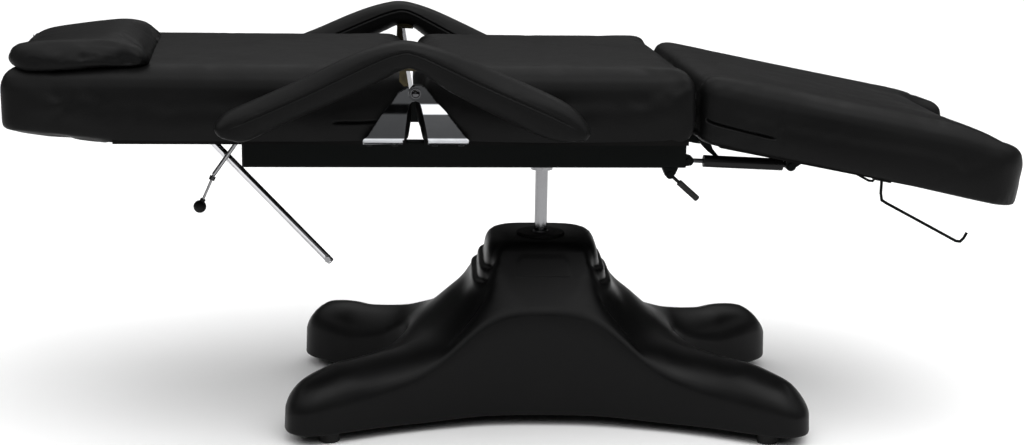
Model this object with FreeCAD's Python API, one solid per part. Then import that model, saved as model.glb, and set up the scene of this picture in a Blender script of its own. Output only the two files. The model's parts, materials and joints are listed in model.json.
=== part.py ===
import FreeCAD, Part
import math
import os

os.makedirs("parts", exist_ok=True)
V = FreeCAD.Vector

# ---------------------------------------------------------------- driving dimensions (mm)
# The bed is drawn with the column at X = 0, head towards -X, foot towards +X, floor at Z = 0.
SHIFT_X = 65.4            # moves everything so that the box is centred on the origin
BED_HALF_W = 302.0        # cushions, half width
BACK_X0, BACK_X1 = -944.0, -258.5
SEAT_X0, SEAT_X1 = -238.5, 242.0
CUSH_Z0, CUSH_Z1 = 568.0, 683.0
BOARD_Z0, BOARD_Z1 = 556.5, 567.9
RAIL_Z0, RAIL_Z1 = 509.0, 556.0
RAIL_Y0, RAIL_Y1 = 233.0, 258.0
RAIL_X0, RAIL_X1 = -545.0, 231.0
RAIL_WALL = 2.0
BACK_PIVOT = (-248.6, 648.6)      # X, Z of the backrest and armrest hinge
LEG_PIVOT = (248.0, 546.0)        # X, Z of the leg rest hinge
LEG_TILT = 11.0                   # leg rest below level, degrees
LEG_X0, LEG_X1 = 250.0, 823.0
STAY_PIVOT = (-652.4, 541.0)
STAY_ANGLE = -46.7
STAY_LEN = 364.4
STAY_R = 7.0
COLUMN_R = 12.2
TOWER_TOP = 331.0
ARM_Y0, ARM_Y1 = 318.3, 393.0
GAS_A = (236.4, 521.3)            # gas spring, frame end
GAS_B = (421.0, 513.0)            # gas spring, leg rest end
GAS_Y = -245.5
BACK_LEVER_PIVOT = (-560.0, 536.0)
LEG_LEVER_PIVOT = (204.0, 497.0)
PEDAL_PIVOT = (150.0, 78.0)       # Y, Z
ARM_FAR_TURN = 2.5                # far armrest, tilted a little further than the near one
BASE_TURN = -2.4                  # base about the column, degrees; the bed is swivelled this much from it
PILLOW_TURN = 4.6                 # loose pillow, lies a little askew
FIT = 0.05                        # radial running clearance

NODES = {}


def put(name, *shapes):
    """Keeps one or more solids under a node name."""
    sol = []
    for s in shapes:
        sol += s.Solids
    for s in sol:
        assert s.isValid(), name
        assert s.Volume > 1.0, name
    NODES[name] = sol


# ---------------------------------------------------------------- helpers
def box(x0, x1, y0, y1, z0, z1):
    return Part.makeBox(x1 - x0, y1 - y0, z1 - z0, V(x0, y0, z0))


def cyl(p, d, r, h):
    return Part.makeCylinder(r, h, V(*p), V(*d))


def cyl_y(x, z, y0, y1, r):
    return Part.makeCylinder(r, y1 - y0, V(x, y0, z), V(0, 1, 0))


def cyl_z(x, y, z0, z1, r):
    return Part.makeCylinder(r, z1 - z0, V(x, y, z0), V(0, 0, 1))


def rod(p, q, r):
    a, b = V(*p), V(*q)
    d = b.sub(a)
    return Part.makeCylinder(r, d.Length, a, d)


def prism_xz(pts, y0, y1):
    w = Part.makePolygon([V(x, y0, z) for x, z in pts] + [V(pts[0][0], y0, pts[0][1])])
    return Part.Face(w).extrude(V(0, y1 - y0, 0))


def prism_yz(pts, x0, x1):
    w = Part.makePolygon([V(x0, y, z) for y, z in pts] + [V(x0, pts[0][0], pts[0][1])])
    return Part.Face(w).extrude(V(x1 - x0, 0, 0))


def prism_xy(pts, z0, z1):
    w = Part.makePolygon([V(x, y, z0) for x, y in pts] + [V(pts[0][0], pts[0][1], z0)])
    return Part.Face(w).extrude(V(0, 0, z1 - z0))


def spline_prism_xz(pts, y0, y1):
    """Prism over a smooth closed outline in XZ."""
    c = Part.BSplineCurve()
    c.interpolate([V(x, y0, z) for x, z in pts], PeriodicFlag=True)
    return Part.Face(Part.Wire(c.toShape())).extrude(V(0, y1 - y0, 0))


def rounded_xz(pts, radii, y0, y1):
    """Prism over a polygon in XZ whose corners are rounded by the given radii."""
    n = len(pts)
    edges = []
    ends = []
    for i in range(n):
        p0, p1, p2 = V(*pts[i - 1], 0), V(*pts[i], 0), V(*pts[(i + 1) % n], 0)
        a = p0.sub(p1)
        b = p2.sub(p1)
        a.normalize()
        b.normalize()
        half = math.acos(max(-1.0, min(1.0, a.dot(b)))) / 2
        t = radii[i] / math.tan(half)
        s, e = p1.add(a.multiply(t)), p1.add(b.multiply(t))
        m = a.add(b)
        bis = s.add(e).multiply(0.5).sub(p1)
        bis.normalize()
        mid = p1.add(bis.multiply(radii[i] / math.sin(half) - radii[i]))
        ends.append((s, mid, e))

    def up(v):
        return V(v.x, y0, v.y)

    for i in range(n):
        s, mid, e = ends[i]
        if radii[i] > 0:
            edges.append(Part.Arc(up(s), up(mid), up(e)).toShape())
        nxt = ends[(i + 1) % n][0]
        if up(e).distanceToPoint(up(nxt)) > 1e-6:
            edges.append(Part.LineSegment(up(e), up(nxt)).toShape())
    return Part.Face(Part.Wire(edges)).extrude(V(0, y1 - y0, 0))


def rounded_xy(pts, radii, z0, z1):
    s = rounded_xz(pts, radii, 0, z1 - z0)
    # XZ outline turned so that its Z becomes Y and its depth becomes Z
    m = FreeCAD.Matrix(1, 0, 0, 0, 0, 0, 1, 0, 0, 1, 0, z0, 0, 0, 0, 1)
    s = s.transformGeometry(m)
    return s


def mirror_y(s):
    return s.mirror(V(0, 0, 0), V(0, 1, 0))


def both_sides(s):
    return s, mirror_y(s)


def try_fillet(s, r, pick):
    edges = [e for e in s.Edges if pick(e)]
    try:
        f = s.makeFillet(r, edges)
        if f.isValid() and f.Volume > 0:
            return f
    except Exception:
        pass
    return s


def rect_tube_x(x0, x1, y0, y1, z0, z1, wall):
    o = box(x0, x1, y0, y1, z0, z1)
    o = try_fillet(o, 4.0, lambda e: abs(e.BoundBox.XLength - (x1 - x0)) < 1e-6)
    return o.cut(box(x0 - 1, x1 + 1, y0 + wall, y1 - wall, z0 + wall, z1 - wall))


def rect_tube_y(x0, x1, y0, y1, z0, z1, wall):
    o = box(x0, x1, y0, y1, z0, z1)
    return o.cut(box(x0 + wall, x1 - wall, y0 - 1, y1 + 1, z0 + wall, z1 - wall))


def pan_screw(x, y, z_head, length, r=2.5):
    """Screw that points up, head downwards, head top face at z_head."""
    head = cyl_z(x, y, z_head - 2.6, z_head, 2 * r)
    head = try_fillet(head, 1.2, lambda e: e.BoundBox.ZLength < 1e-6 and e.BoundBox.ZMin < z_head - 2)
    cross = box(x - r, x + r, y - 0.5, y + 0.5, z_head - 2.7, z_head - 1.5)
    return head.fuse(cyl_z(x, y, z_head, z_head + length, r)).cut(cross).removeSplitter()


def turned(s, deg, px, pz):
    c = s.copy()
    c.rotate(V(px, 0, pz), V(0, 1, 0), deg)
    return c


# ---------------------------------------------------------------- base: cover, welded frame, pads
LEG_DIR = math.atan2(260.0, 477.0)
# distance from the centre, half width, ridge height, crown height of a cover leg
LEG_SECTIONS = [
    (40.0, 118.0, 205.0, 252.0),
    (150.0, 112.0, 160.0, 215.0),
    (220.0, 96.0, 118.0, 172.0),
    (300.0, 82.0, 96.0, 146.0),
    (400.0, 74.0, 84.0, 140.0),
    (460.0, 70.0, 78.0, 126.0),
    (500.0, 62.0, 72.0, 108.0),
    (526.0, 49.0, 64.0, 90.0),
    (541.0, 32.0, 52.0, 68.0),
]
COVER_Z0 = 18.0
LEG_SHIFT = 8.0                   # the legs sit a little towards the foot end of the column


def leg_solid(angle, inset, z0):
    ca, sa = math.cos(angle), math.sin(angle)
    wires = []
    for s, w, zr, zc in LEG_SECTIONS:
        w, zr, zc = w - inset, zr - inset * 0.8, zc - inset
        s = min(s, 541.0 - inset)
        prof = [(-w, z0), (-0.96 * w, zr), (-0.72 * w, zr + 0.62 * (zc - zr)), (-0.36 * w, zr + 0.93 * (zc - zr)),
                (0.36 * w, zr + 0.93 * (zc - zr)), (0.72 * w, zr + 0.62 * (zc - zr)), (0.96 * w, zr), (w, z0)]
        dx = LEG_SHIFT * min(1.0, s / 300.0)
        pts = [V(s * ca - t * sa + dx, s * sa + t * ca, z) for t, z in prof]
        wires.append(Part.makePolygon(pts + [pts[0]]))
    return Part.makeLoft(wires, True, True)


def cover_body(inset, z0):
    parts = []
    for sx in (1, -1):
        for sy in (1, -1):
            parts.append(leg_solid(math.atan2(sy * 260.0, sx * 477.0), inset, z0))
    i = inset
    bell = [(-240 + i, z0), (240 - i, z0), (212 - i, 92 - i), (160 - i, 140 - i), (100 - i, 192 - i), (50 - i, 216 - i),
            (-50 + i, 216 - i), (-100 + i, 192 - i), (-160 + i, 140 - i), (-212 + i, 92 - i)]
    parts.append(prism_xz(bell, -181 + i, 181 - i))
    for hx, hy, zt in ((134.0, 134.0, 262.0), (121.0, 121.0, 286.0), (107.0, 107.0, TOWER_TOP)):
        b = box(-hx + i, hx - i, -hy + i, hy - i, z0, zt - i)
        if inset == 0:
            b = try_fillet(b, 16.0, lambda e: e.BoundBox.ZLength > 50)
            b = try_fillet(b, 7.0, lambda e: e.BoundBox.ZMin > zt - 0.01)
        parts.append(b)
    body = parts[0]
    for p in parts[1:]:
        body = body.fuse(p)
    return body


outer = cover_body(0.0, COVER_Z0)
inner = cover_body(5.0, COVER_Z0 - 10.0)
cover = outer.cut(inner)
cover = cover.cut(cyl_z(0, 0, 300, 340, 36.0))                 # column opening
cover = cover.cut(box(-24, 24, 120, 300, 30, 128))             # pedal slot on the far side
put("base_cover", cover)

ARM_TIPS = [(10.0 + sx * 401.0, sy * 253.0) for sx in (1, -1) for sy in (1, -1)]
frame = box(-62, 62, -62, 62, 20, 46)
for x, y in ARM_TIPS:
    a = math.degrees(math.atan2(y, x))
    L = math.hypot(x, y) + 28
    arm = box(0, L, -22, 22, 20, 46)
    arm.rotate(V(0, 0, 0), V(0, 0, 1), a)
    frame = frame.fuse(arm)
frame = frame.removeSplitter().cut(cyl_z(0, 0, 10, 60, 33.0))
for x, y in ARM_TIPS:
    frame = frame.cut(cyl_z(x, y, 10, 60, 5.0))
py, pz = PEDAL_PIVOT
frame = frame.fuse(box(-20, 20, 60, 166, 20, 46))               # pedal bearer
for sx in (1, -1):
    e = box(min(sx * 14, sx * 20), max(sx * 14, sx * 20), 134, 166, 45.0, 90.0)
    frame = frame.fuse(e.cut(cyl((-40, py, pz), (1, 0, 0), 5.0, 80)))
put("base_frame", frame.removeSplitter())

pads = []
for x, y in ARM_TIPS:
    p = cyl_z(x, y, 0, 19.9, 19.0)
    p = try_fillet(p, 2.5, lambda e: e.BoundBox.ZMax < 0.01)
    p = p.fuse(cyl_z(x, y, 19.8, 42, 5.0 - 0.1)).removeSplitter()
    pads.append(p)
put("foot_pads", *pads)

# hydraulic cylinder with its gland, collar and pump
barrel = cyl_z(0, 0, 20.2, 318.0, 33.0 - 0.05).cut(cyl_z(0, 0, 30, 320, 25.0))
put("pump_cylinder", barrel)
gland = cyl_z(0, 0, 318.0, 328.0, 35.0).fuse(cyl_z(0, 0, 327.9, 338.0, COLUMN_R + 2.8)).removeSplitter()
gland = gland.cut(cyl_z(0, 0, 310, 340, COLUMN_R + FIT))
put("column_gland", gland)
trim = cyl_z(0, 0, TOWER_TOP, TOWER_TOP + 5, 46.0).cut(cyl_z(0, 0, 320, 350, COLUMN_R + 3.0))
trim = try_fillet(trim, 2.0, lambda e: e.BoundBox.ZMin > TOWER_TOP + 4.9 and e.BoundBox.XLength > 60)
put("column_trim_ring", trim)

block = box(-26, 26, 64.5, 118, 46.2, 112)
block = try_fillet(block, 3.0, lambda e: e.BoundBox.ZLength > 60)
block = block.fuse(box(-12, 12, 33.5, 66, 56, 84)).cut(cyl_z(0, 0, 40, 120, 33.05))
PLUNGER_Y = 106.0
block = block.cut(cyl_z(0, PLUNGER_Y, 84, 120, 6.0 + FIT)).cut(box(-10, 10, 94, 120, 46, 98))
put("pump_block", block.removeSplitter())
put("pump_plunger", cyl_z(0, PLUNGER_Y, 85.0, 126.0, 6.0).fuse(cyl_z(0, PLUNGER_Y, 126.0, 130.0, 9.0)).removeSplitter())

put("pedal_pin", cyl((-23, py, pz), (1, 0, 0), 5.0 - 0.02, 46).fuse(cyl((-26, py, pz), (1, 0, 0), 7.5, 3)).removeSplitter())
arm = prism_yz([(98, 71), (114, 71), (138, 64), (165, 64), (250, 58), (352, 58), (352, 66), (252, 66), (166, 92), (138, 92), (114, 83), (98, 83)], -9, 9)
arm = arm.cut(cyl((-40, py, pz), (1, 0, 0), 5.0 + FIT, 80))
put("pedal_arm", arm)
pad = box(-48, 48, 290, 368, 66.0, 78.0)
pad = try_fillet(pad, 10.0, lambda e: e.BoundBox.ZLength > 11)
pad = try_fillet(pad, 3.0, lambda e: e.BoundBox.ZMin > 77.9)
put("pedal_pad", pad)

# ---------------------------------------------------------------- lift: column, piston, collar
put("column", cyl_z(0, 0, 168.0, 504.0, COLUMN_R))
put("piston", cyl_z(0, 0, 140.0, 167.9, 25.0 - FIT))
put("shaft_collar", cyl_z(0, 0, 458.0, 465.5, 21.0).cut(cyl_z(0, 0, 450, 470, COLUMN_R + 0.01)))

# ---------------------------------------------------------------- bed frame
hub = cyl_z(0, 0, 466.0, 509.0, 24.0).fuse(box(-92, 92, -74, 74, 505.0, 513.0))
hub = hub.cut(cyl_z(0, 0, 460, 504.4, COLUMN_R + FIT)).removeSplitter()
for sx in (1, -1):
    rib = prism_xz([(sx * 23, 505.2), (sx * 80, 505.2), (sx * 23, 474)], -4, 4)
    hub = hub.fuse(rib)
put("swivel_hub", hub.removeSplitter())

near = rect_tube_x(RAIL_X0, RAIL_X1, -RAIL_Y1, -RAIL_Y0, RAIL_Z0, RAIL_Z1, RAIL_WALL)
put("side_rails", *both_sides(near))
YI = RAIL_Y0 - 0.05
put("cross_members",
    rect_tube_y(RAIL_X0, RAIL_X0 + 40, -YI, YI, 513.0, 554.0, 2.0),
    rect_tube_y(-84, -44, -YI, YI, 513.05, 554.0, 2.0),
    rect_tube_y(44, 84, -YI, YI, 513.05, 554.0, 2.0),
    rect_tube_y(RAIL_X1 - 40, RAIL_X1, -YI, YI, 513.0, 554.0, 2.0))
caps = []
for sy in (1, -1):
    y0, y1 = sorted((sy * RAIL_Y0, sy * RAIL_Y1))
    c = box(RAIL_X0 - 3, RAIL_X0 - 0.02, y0, y1, RAIL_Z0, RAIL_Z1)
    c = try_fillet(c, 1.5, lambda e: e.BoundBox.XMax < RAIL_X0 - 2.9)
    c = c.fuse(box(RAIL_X0 - 0.5, RAIL_X0 + 12, y0 + 2.3, y1 - 2.3, RAIL_Z0 + 2.3, RAIL_Z1 - 2.3))
    caps.append(c.removeSplitter())
c = box(RAIL_X1 + 0.02, RAIL_X1 + 3, RAIL_Y0, RAIL_Y1, RAIL_Z0, RAIL_Z1)
c = c.fuse(box(RAIL_X1 - 12, RAIL_X1 + 0.5, RAIL_Y0 + 2.3, RAIL_Y1 - 2.3, RAIL_Z0 + 2.3, RAIL_Z1 - 2.3))
caps.append(c.removeSplitter())
put("rail_end_caps", *caps)

# ---------------------------------------------------------------- seat
put("seat_board", box(SEAT_X0 + 6, SEAT_X1 - 14, -BED_HALF_W + 6, BED_HALF_W - 6, BOARD_Z0 - 0.45, BOARD_Z1))
seat = rounded_xz([(SEAT_X0, CUSH_Z0), (SEAT_X1, CUSH_Z0), (SEAT_X1, CUSH_Z1), (SEAT_X0, CUSH_Z1)], [10, 24, 28, 28], -BED_HALF_W, BED_HALF_W)
put("seat_cushion", seat)

bx, bz = BACK_PIVOT


def disc_plate(outline, y0, y1, holes=()):
    p = prism_xz(outline, y0, y1)
    for x, z, r in holes:
        p = p.cut(cyl_y(x, z, y0 - 1, y1 + 1, r))
    return p


def arc_pts(x, z, r, a0, a1, n=10):
    return [(x + r * math.cos(math.radians(a0 + (a1 - a0) * i / n)), z + r * math.sin(math.radians(a0 + (a1 - a0) * i / n))) for i in range(n + 1)]


BOLT_R = 5.0


def hinge_plate(kind):
    """Near-side plate: lower part flush with the cushion side, joggle, upper part with the pivot eye."""
    if kind == "seat":
        low = [(-228, 553.4), (-154, 553.4), (-154, 562), (-193, 617), (-232.5, 617), (-228, 566)]
        upp = [(-241, 629), (-206, 629)] + arc_pts(bx, bz, 16.4, 0, 180, 14) + [(-263, 640)]
        upp = [(-241.5, 629), (-202.5, 629), (-219, 648)] + arc_pts(bx, bz, 16.4, 15, 190, 14)
        yl0, yl1, yu0, yu1 = -312.0, -308.0, -317.0, -313.2
        band = [(-232.5, 617), (-193, 617), (-202.5, 629), (-241.5, 629)]
        flange = box(-228, -154, -312.0, -262.0, 553.4, 556.0)
    else:
        low = [(-342, 553.4), (-269, 553.4), (-269, 566), (-262.5, 617), (-304, 617), (-342, 564)]
        upp = [(-293.5, 629), (-260.5, 629)] + arc_pts(bx, bz, 16.4, -70, 140, 14) + [(-270, 655)]
        yl0, yl1, yu0, yu1 = -312.0, -308.0, -308.7, -305.0
        band = [(-304, 617), (-262.5, 617), (-260.5, 629), (-293.5, 629)]
        flange = box(-342, -269, -312.0, -262.0, 553.4, 556.0)
    p = prism_xz(low, yl0, yl1).fuse(flange)
    # joggle: a slanted web between the two planes
    w1 = Part.makePolygon([V(band[0][0], yl0, band[0][1]), V(band[1][0], yl0, band[1][1]), V(band[1][0], yl1, band[1][1]), V(band[0][0], yl1, band[0][1]), V(band[0][0], yl0, band[0][1])])
    w2 = Part.makePolygon([V(band[3][0], yu0, band[3][1]), V(band[2][0], yu0, band[2][1]), V(band[2][0], yu1, band[2][1]), V(band[3][0], yu1, band[3][1]), V(band[3][0], yu0, band[3][1])])
    p = p.fuse(Part.makeLoft([w1, w2], True, True))
    p = p.fuse(prism_xz(upp, yu0, yu1))
    p = p.removeSplitter()
    r = BOLT_R + (0.02 if kind == "seat" else FIT)
    return p.cut(cyl_y(bx, bz, -330, -300, r))


sp = hinge_plate("seat")
SEAT_SCREWS = [(-214, -276), (-168, -276)]
for x, y in SEAT_SCREWS:
    sp = sp.cut(cyl_z(x, y, 550, 560, 2.6))
put("seat_hinge_plates", *both_sides(sp))
screws = [pan_screw(x, y, 553.35, 12.0) for x, y in SEAT_SCREWS]
sb = NODES["seat_board"][0]
for s in screws:
    for q in both_sides(s):
        sb = sb.cut(q)
NODES["seat_board"] = [sb]
put("seat_plate_screws", *[q for s in screws for q in both_sides(s)])

bolt = cyl_y(bx, bz, -317.0, -297.0, BOLT_R).fuse(cyl_y(bx, bz, -320.6, -317.05, 9.0))
dome = Part.makeSphere(7.6, V(bx, -319.0, bz)).common(box(bx - 10, bx + 10, -330, -320.5, bz - 10, bz + 10))
bolt = bolt.fuse(dome).fuse(cyl_y(bx, bz, -320.6, -316.9, BOLT_R)).removeSplitter()
nut = Part.Face(Part.makePolygon([V(bx + 8.6 * math.cos(math.radians(60 * k)), -304.4, bz + 8.6 * math.sin(math.radians(60 * k))) for k in range(7)])).extrude(V(0, 6, 0))
nut = nut.cut(cyl_y(bx, bz, -310, -290, BOLT_R + 0.02))
put("hinge_bolts", *both_sides(bolt), *both_sides(nut))

# ---------------------------------------------------------------- backrest
prof = [(BACK_X0, 596), (-915, 584), (-768, CUSH_Z0), (BACK_X1, CUSH_Z0), (BACK_X1, CUSH_Z1), (BACK_X0, CUSH_Z1)]
back = rounded_xz(prof, [18, 20, 60, 10, 28, 34], -BED_HALF_W, BED_HALF_W)
plan = rounded_xy([(BACK_X0 - 1, -BED_HALF_W), (BACK_X1 + 1, -BED_HALF_W), (BACK_X1 + 1, BED_HALF_W), (BACK_X0 - 1, BED_HALF_W)], [45, 0.5, 0.5, 45], 540, 700)
put("backrest_cushion", back.common(plan))
bb = box(-762, BACK_X1 - 6, -BED_HALF_W + 6, BED_HALF_W - 6, BOARD_Z0, BOARD_Z1)
bp = hinge_plate("back")
BACK_SCREWS = [(-328, -276), (-283, -276)]
for x, y in BACK_SCREWS:
    bp = bp.cut(cyl_z(x, y, 550, 560, 2.6))
bp = bp.cut(box(-400, -200, -263, -260, 556.0, 556.45)).cut(box(-400, -200, -320, -312.5, 500, 600))
put("backrest_hinge_plates", *both_sides(bp))
screws = [pan_screw(x, y, 553.35, 12.0) for x, y in BACK_SCREWS]
for s in screws:
    for q in both_sides(s):
        bb = bb.cut(q)
put("backrest_plate_screws", *[q for s in screws for q in both_sides(s)])

# wedge pillow: thick at the neck, thin at the head
px, py_ = -836.0, -45.0
pil = rounded_xz([(px - 118, 683.3), (px + 110, 683.3), (px + 118, 708), (px + 94, 738), (px + 70, 742), (px + 15, 733), (px - 56, 720), (px - 112, 706)], [6, 8, 14, 12, 16, 20, 20, 10], py_ - 245, py_ + 245)
plan = []
for cx, cy, a0 in ((78, -205, -90), (78, 205, 0), (-78, 205, 90), (-78, -205, 180)):
    plan += [(px + cx + 40 * math.cos(math.radians(a0 + 15 * k)), py_ + cy + 40 * math.sin(math.radians(a0 + 15 * k))) for k in range(7)]
pil = pil.common(prism_xy(plan, 680, 760))
pil.rotate(V(px, py_, 0), V(0, 0, 1), PILLOW_TURN)
put("pillow", pil)

# prop stay bracket under the board
sx_, sz_ = STAY_PIVOT
plate = box(-706, -626, -34, 34, 553.0, 556.45)
for sy in (1, -1):
    y0, y1 = sorted((sy * 9.0, sy * 13.0))
    ear = prism_xz([(sx_ - 26, 553.4), (sx_ + 26, 553.4), (sx_ + 13, 540)] + arc_pts(sx_, sz_, 12, -30, -150, 8) + [(sx_ - 13, 540)], y0, y1)
    plate = plate.fuse(ear)
plate = plate.removeSplitter().cut(cyl_y(sx_, sz_, -40, 40, 4.0 + 0.02))
put("stay_bracket", plate)
pin = cyl_y(sx_, sz_, -15.5, 15.5, 4.0).fuse(cyl_y(sx_, sz_, -18.5, -15.4, 6.5)).fuse(cyl_y(sx_, sz_, 15.4, 17.5, 6.0)).removeSplitter()
put("stay_pin", pin)
put("backrest_board", bb)

# ---------------------------------------------------------------- prop stay
a = math.radians(STAY_ANGLE)
ux, uz = math.cos(a), math.sin(a)
ex, ez = sx_ + STAY_LEN * ux, sz_ + STAY_LEN * uz
bar = rod((sx_ + 6 * ux, 0, sz_ + 6 * uz), (ex, 0, ez), STAY_R)
bar = try_fillet(bar, 2.0, lambda e: abs(e.CenterOfMass.x - ex) < 1.0)
bar = bar.fuse(cyl_y(sx_, sz_, -8.4, 8.4, 9.5)).removeSplitter().cut(cyl_y(sx_, sz_, -40, 40, 4.0 + FIT))
fx, fz = ex - 10 * ux, ez - 10 * uz
bar = bar.cut(cyl_y(fx, fz, -40, 40, 3.0 + 0.02))
put("stay_bar", bar)
fb = cyl_y(fx, fz, -10.5, 11.5, 3.0).fuse(cyl_y(fx, fz, -13.5, -7.2, 5.6)).fuse(cyl_y(fx, fz, 7.2, 10.5, 5.2))
fb = fb.cut(bar)
fb = max(fb.Solids, key=lambda s: s.Volume) if len(fb.Solids) > 1 else fb
put("stay_foot_bolt", fb)

# ---------------------------------------------------------------- leg rest
hx, hz = LEG_PIVOT
tt = math.tan(math.radians(LEG_TILT))


def leg_top(x):
    return 673.0 - (x - 270.0) * math.tan(math.radians(11.2))


def leg_bot(x):
    return 555.0 - (x - 271.0) * tt


prof = [(LEG_X0, 570), (270, leg_bot(270) + 11), (LEG_X1 + 6, leg_bot(LEG_X1) + 11), (LEG_X1 + 20, leg_top(LEG_X1 + 20)), (LEG_X0 + 1, leg_top(LEG_X0) - 2)]
leg = rounded_xz(prof, [8, 12, 24, 30, 26], -BED_HALF_W, BED_HALF_W)
# foot end seen from above: two lobes with a scoop between them
half = [(240, -BED_HALF_W), (760, -BED_HALF_W)]
half += [(772 + 71 * math.sin(math.radians(q)), -228 - 74 * math.cos(math.radians(q))) for q in range(5, 96, 10)]
half += [(838, -206), (826, -199), (806, -194), (787, -182), (776, -160), (772, -120), (771, -60), (771, 0)]
outl = half + [(x, -y) for x, y in reversed(half[:-1])]
foot = prism_xy(outl, 400, 720)
leg = leg.common(foot)
put("legrest_cushion", leg)


def leg_local(x0, x1, z0, z1, y0, y1):
    """Box drawn level under the leg rest and then tilted with it about its hinge line."""
    return turned(box(x0, x1, y0, y1, z0, z1), LEG_TILT, hx, hz)


lb = leg_local(282, 735, 558.5, 568.5, -BED_HALF_W + 8, BED_HALF_W - 8)
lb = lb.cut(leg_local(690, 760, 540, 580, -70, 70))
put("legrest_board", lb.cut(leg))

arms = []
for sy in (1, -1):
    y0, y1 = sorted((sy * 125.0, sy * 132.0))
    pts = arc_pts(hx, hz, 10.0, 90, 250, 10) + [(254, 535.5), (270, 532), (300, 529), (316, 531), (316, 543.0), (262, 553.8)]
    s = prism_xz(pts, y0, y1)
    top = leg_local(262, 360, 554.9, 558.45, *sorted((sy * 110.0, sy * 148.0)))
    s = s.fuse(top).removeSplitter()
    s = s.cut(cyl_y(hx, hz, -300, 300, 5.0 + FIT))
    arms.append(s)
strap = prism_xz([(258, 553), (264, 545), (274, 535), (286, 526), (297, 519), (300, 522), (291, 530), (283, 540), (279, 551)], -231.5, -226.0)
arms.append(strap.fuse(leg_local(258, 335, 554.9, 558.45, -231.5, -212.0)).removeSplitter())   # curved guard strap beside the gas spring
put("legrest_hinge_arms", *arms)
ears = []
for sy in (1, -1):
    for ya, yb in ((117.0, 124.6), (132.4, 140.0)):
        y0, y1 = sorted((sy * ya, sy * yb))
        e = prism_xz([(RAIL_X1 + 0.02, 521), (242, 533)] + arc_pts(hx, hz, 10.0, -60, 90, 8) + [(RAIL_X1 + 0.02, 551)], y0, y1)
        ears.append(e.cut(cyl_y(hx, hz, -300, 300, 5.0 + 0.02)))
put("legrest_hinge_ears", *ears)
pins = []
for sy in (1, -1):
    y0, y1 = sorted((sy * 113.0, sy * 143.0))
    p = cyl_y(hx, hz, y0, y1, 5.0)
    h0, h1 = sorted((sy * 143.0, sy * 146.0))
    p = p.fuse(cyl_y(hx, hz, h0, h1, 7.5))
    pins.append(p.removeSplitter())
FRAME_PINS = pins

# gas spring
ax_, az_ = GAS_A
gx, gz = GAS_B
gl = math.hypot(gx - ax_, gz - az_)
gu = ((gx - ax_) / gl, (gz - az_) / gl)


def on_gas(s):
    return (ax_ + s * gu[0], GAS_Y, az_ + s * gu[1])


tube = rod(on_gas(31), on_gas(171), 10.8)
tube = tube.cut(rod(on_gas(30), on_gas(163), 9.4))
tail = rod(on_gas(170.9), on_gas(gl - 4), 5.0).fuse(cyl_y(gx, gz, GAS_Y - 6, GAS_Y + 6, 7.0))
tube = tube.fuse(tail).removeSplitter().cut(cyl_y(gx, gz, GAS_Y - 20, GAS_Y + 20, 3.0 + FIT))
put("gas_spring_tube", tube)
guide = rod(on_gas(28), on_gas(42), 9.35).fuse(rod(on_gas(28), on_gas(30.98), 10.8)).removeSplitter().cut(rod(on_gas(20), on_gas(60), 4.0 + FIT))
put("gas_spring_guide", guide)
grod = rod(on_gas(6), on_gas(128), 4.0).fuse(rod(on_gas(118), on_gas(128), 9.4 - FIT))
eye = cyl_y(ax_, az_, GAS_Y - 5, GAS_Y + 5, 9.5).cut(cyl_y(ax_, az_, GAS_Y - 20, GAS_Y + 20, 6.4))
grod = grod.cut(cyl_y(ax_, az_, GAS_Y - 20, GAS_Y + 20, 9.4)).fuse(eye).removeSplitter()
put("gas_spring_rod", grod)
clev = []
for y0, y1 in ((GAS_Y - 10.2, GAS_Y - 6.4), (GAS_Y + 6.4, GAS_Y + 10.2)):
    e = prism_xz([(RAIL_X1 - 26, 512), (RAIL_X1, 512)] + arc_pts(ax_, az_, 9.0, -60, 80, 8) + [(RAIL_X1, 532), (RAIL_X1 - 26, 532)], y0, y1)
    clev.append(e)
cl = clev[0].fuse(clev[1]).fuse(box(RAIL_X1 - 26, RAIL_X1 - 14, GAS_Y - 10.2, GAS_Y + 10.2, 512, 532)).removeSplitter()
cl = cl.cut(cyl_y(ax_, az_, GAS_Y - 20, GAS_Y + 20, 4.0 + 0.02))
put("gas_spring_clevis", cl)
FRAME_PINS.append(cyl_y(ax_, az_, GAS_Y - 12.4, GAS_Y + 12.4, 4.0).fuse(cyl_y(ax_, az_, GAS_Y - 14.4, GAS_Y - 12.3, 5.2)).removeSplitter())


def to_leg(x, z):
    """Point under the leg rest drawn level, from its place in the tilted leg rest."""
    c, s = math.cos(math.radians(-LEG_TILT)), math.sin(math.radians(-LEG_TILT))
    dx, dz = x - hx, z - hz
    return (hx + dx * c + dz * s, hz - dx * s + dz * c)


lgx, lgz = to_leg(gx, gz)
g = box(lgx - 10, lgx + 44, GAS_Y - 18, GAS_Y + 18, 555.6, 558.45)
for y0, y1 in ((GAS_Y - 11, GAS_Y - 7), (GAS_Y + 7, GAS_Y + 11)):
    g = g.fuse(prism_xz([(lgx - 10, 556.5), (lgx - 10, lgz)] + arc_pts(lgx, lgz, 9.5, 180, 360, 10) + [(lgx + 10, lgz), (lgx + 20, 556.5)], y0, y1))
g = g.removeSplitter().cut(cyl_y(lgx, lgz, GAS_Y - 30, GAS_Y + 30, 3.0 + 0.02))
put("gas_spring_leg_bracket", turned(g, LEG_TILT, hx, hz))
put("gas_spring_leg_pin", cyl_y(gx, gz, GAS_Y - 12.5, GAS_Y + 12.5, 3.0).fuse(cyl_y(gx, gz, GAS_Y - 14.5, GAS_Y - 12.4, 5.0)).removeSplitter())

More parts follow.
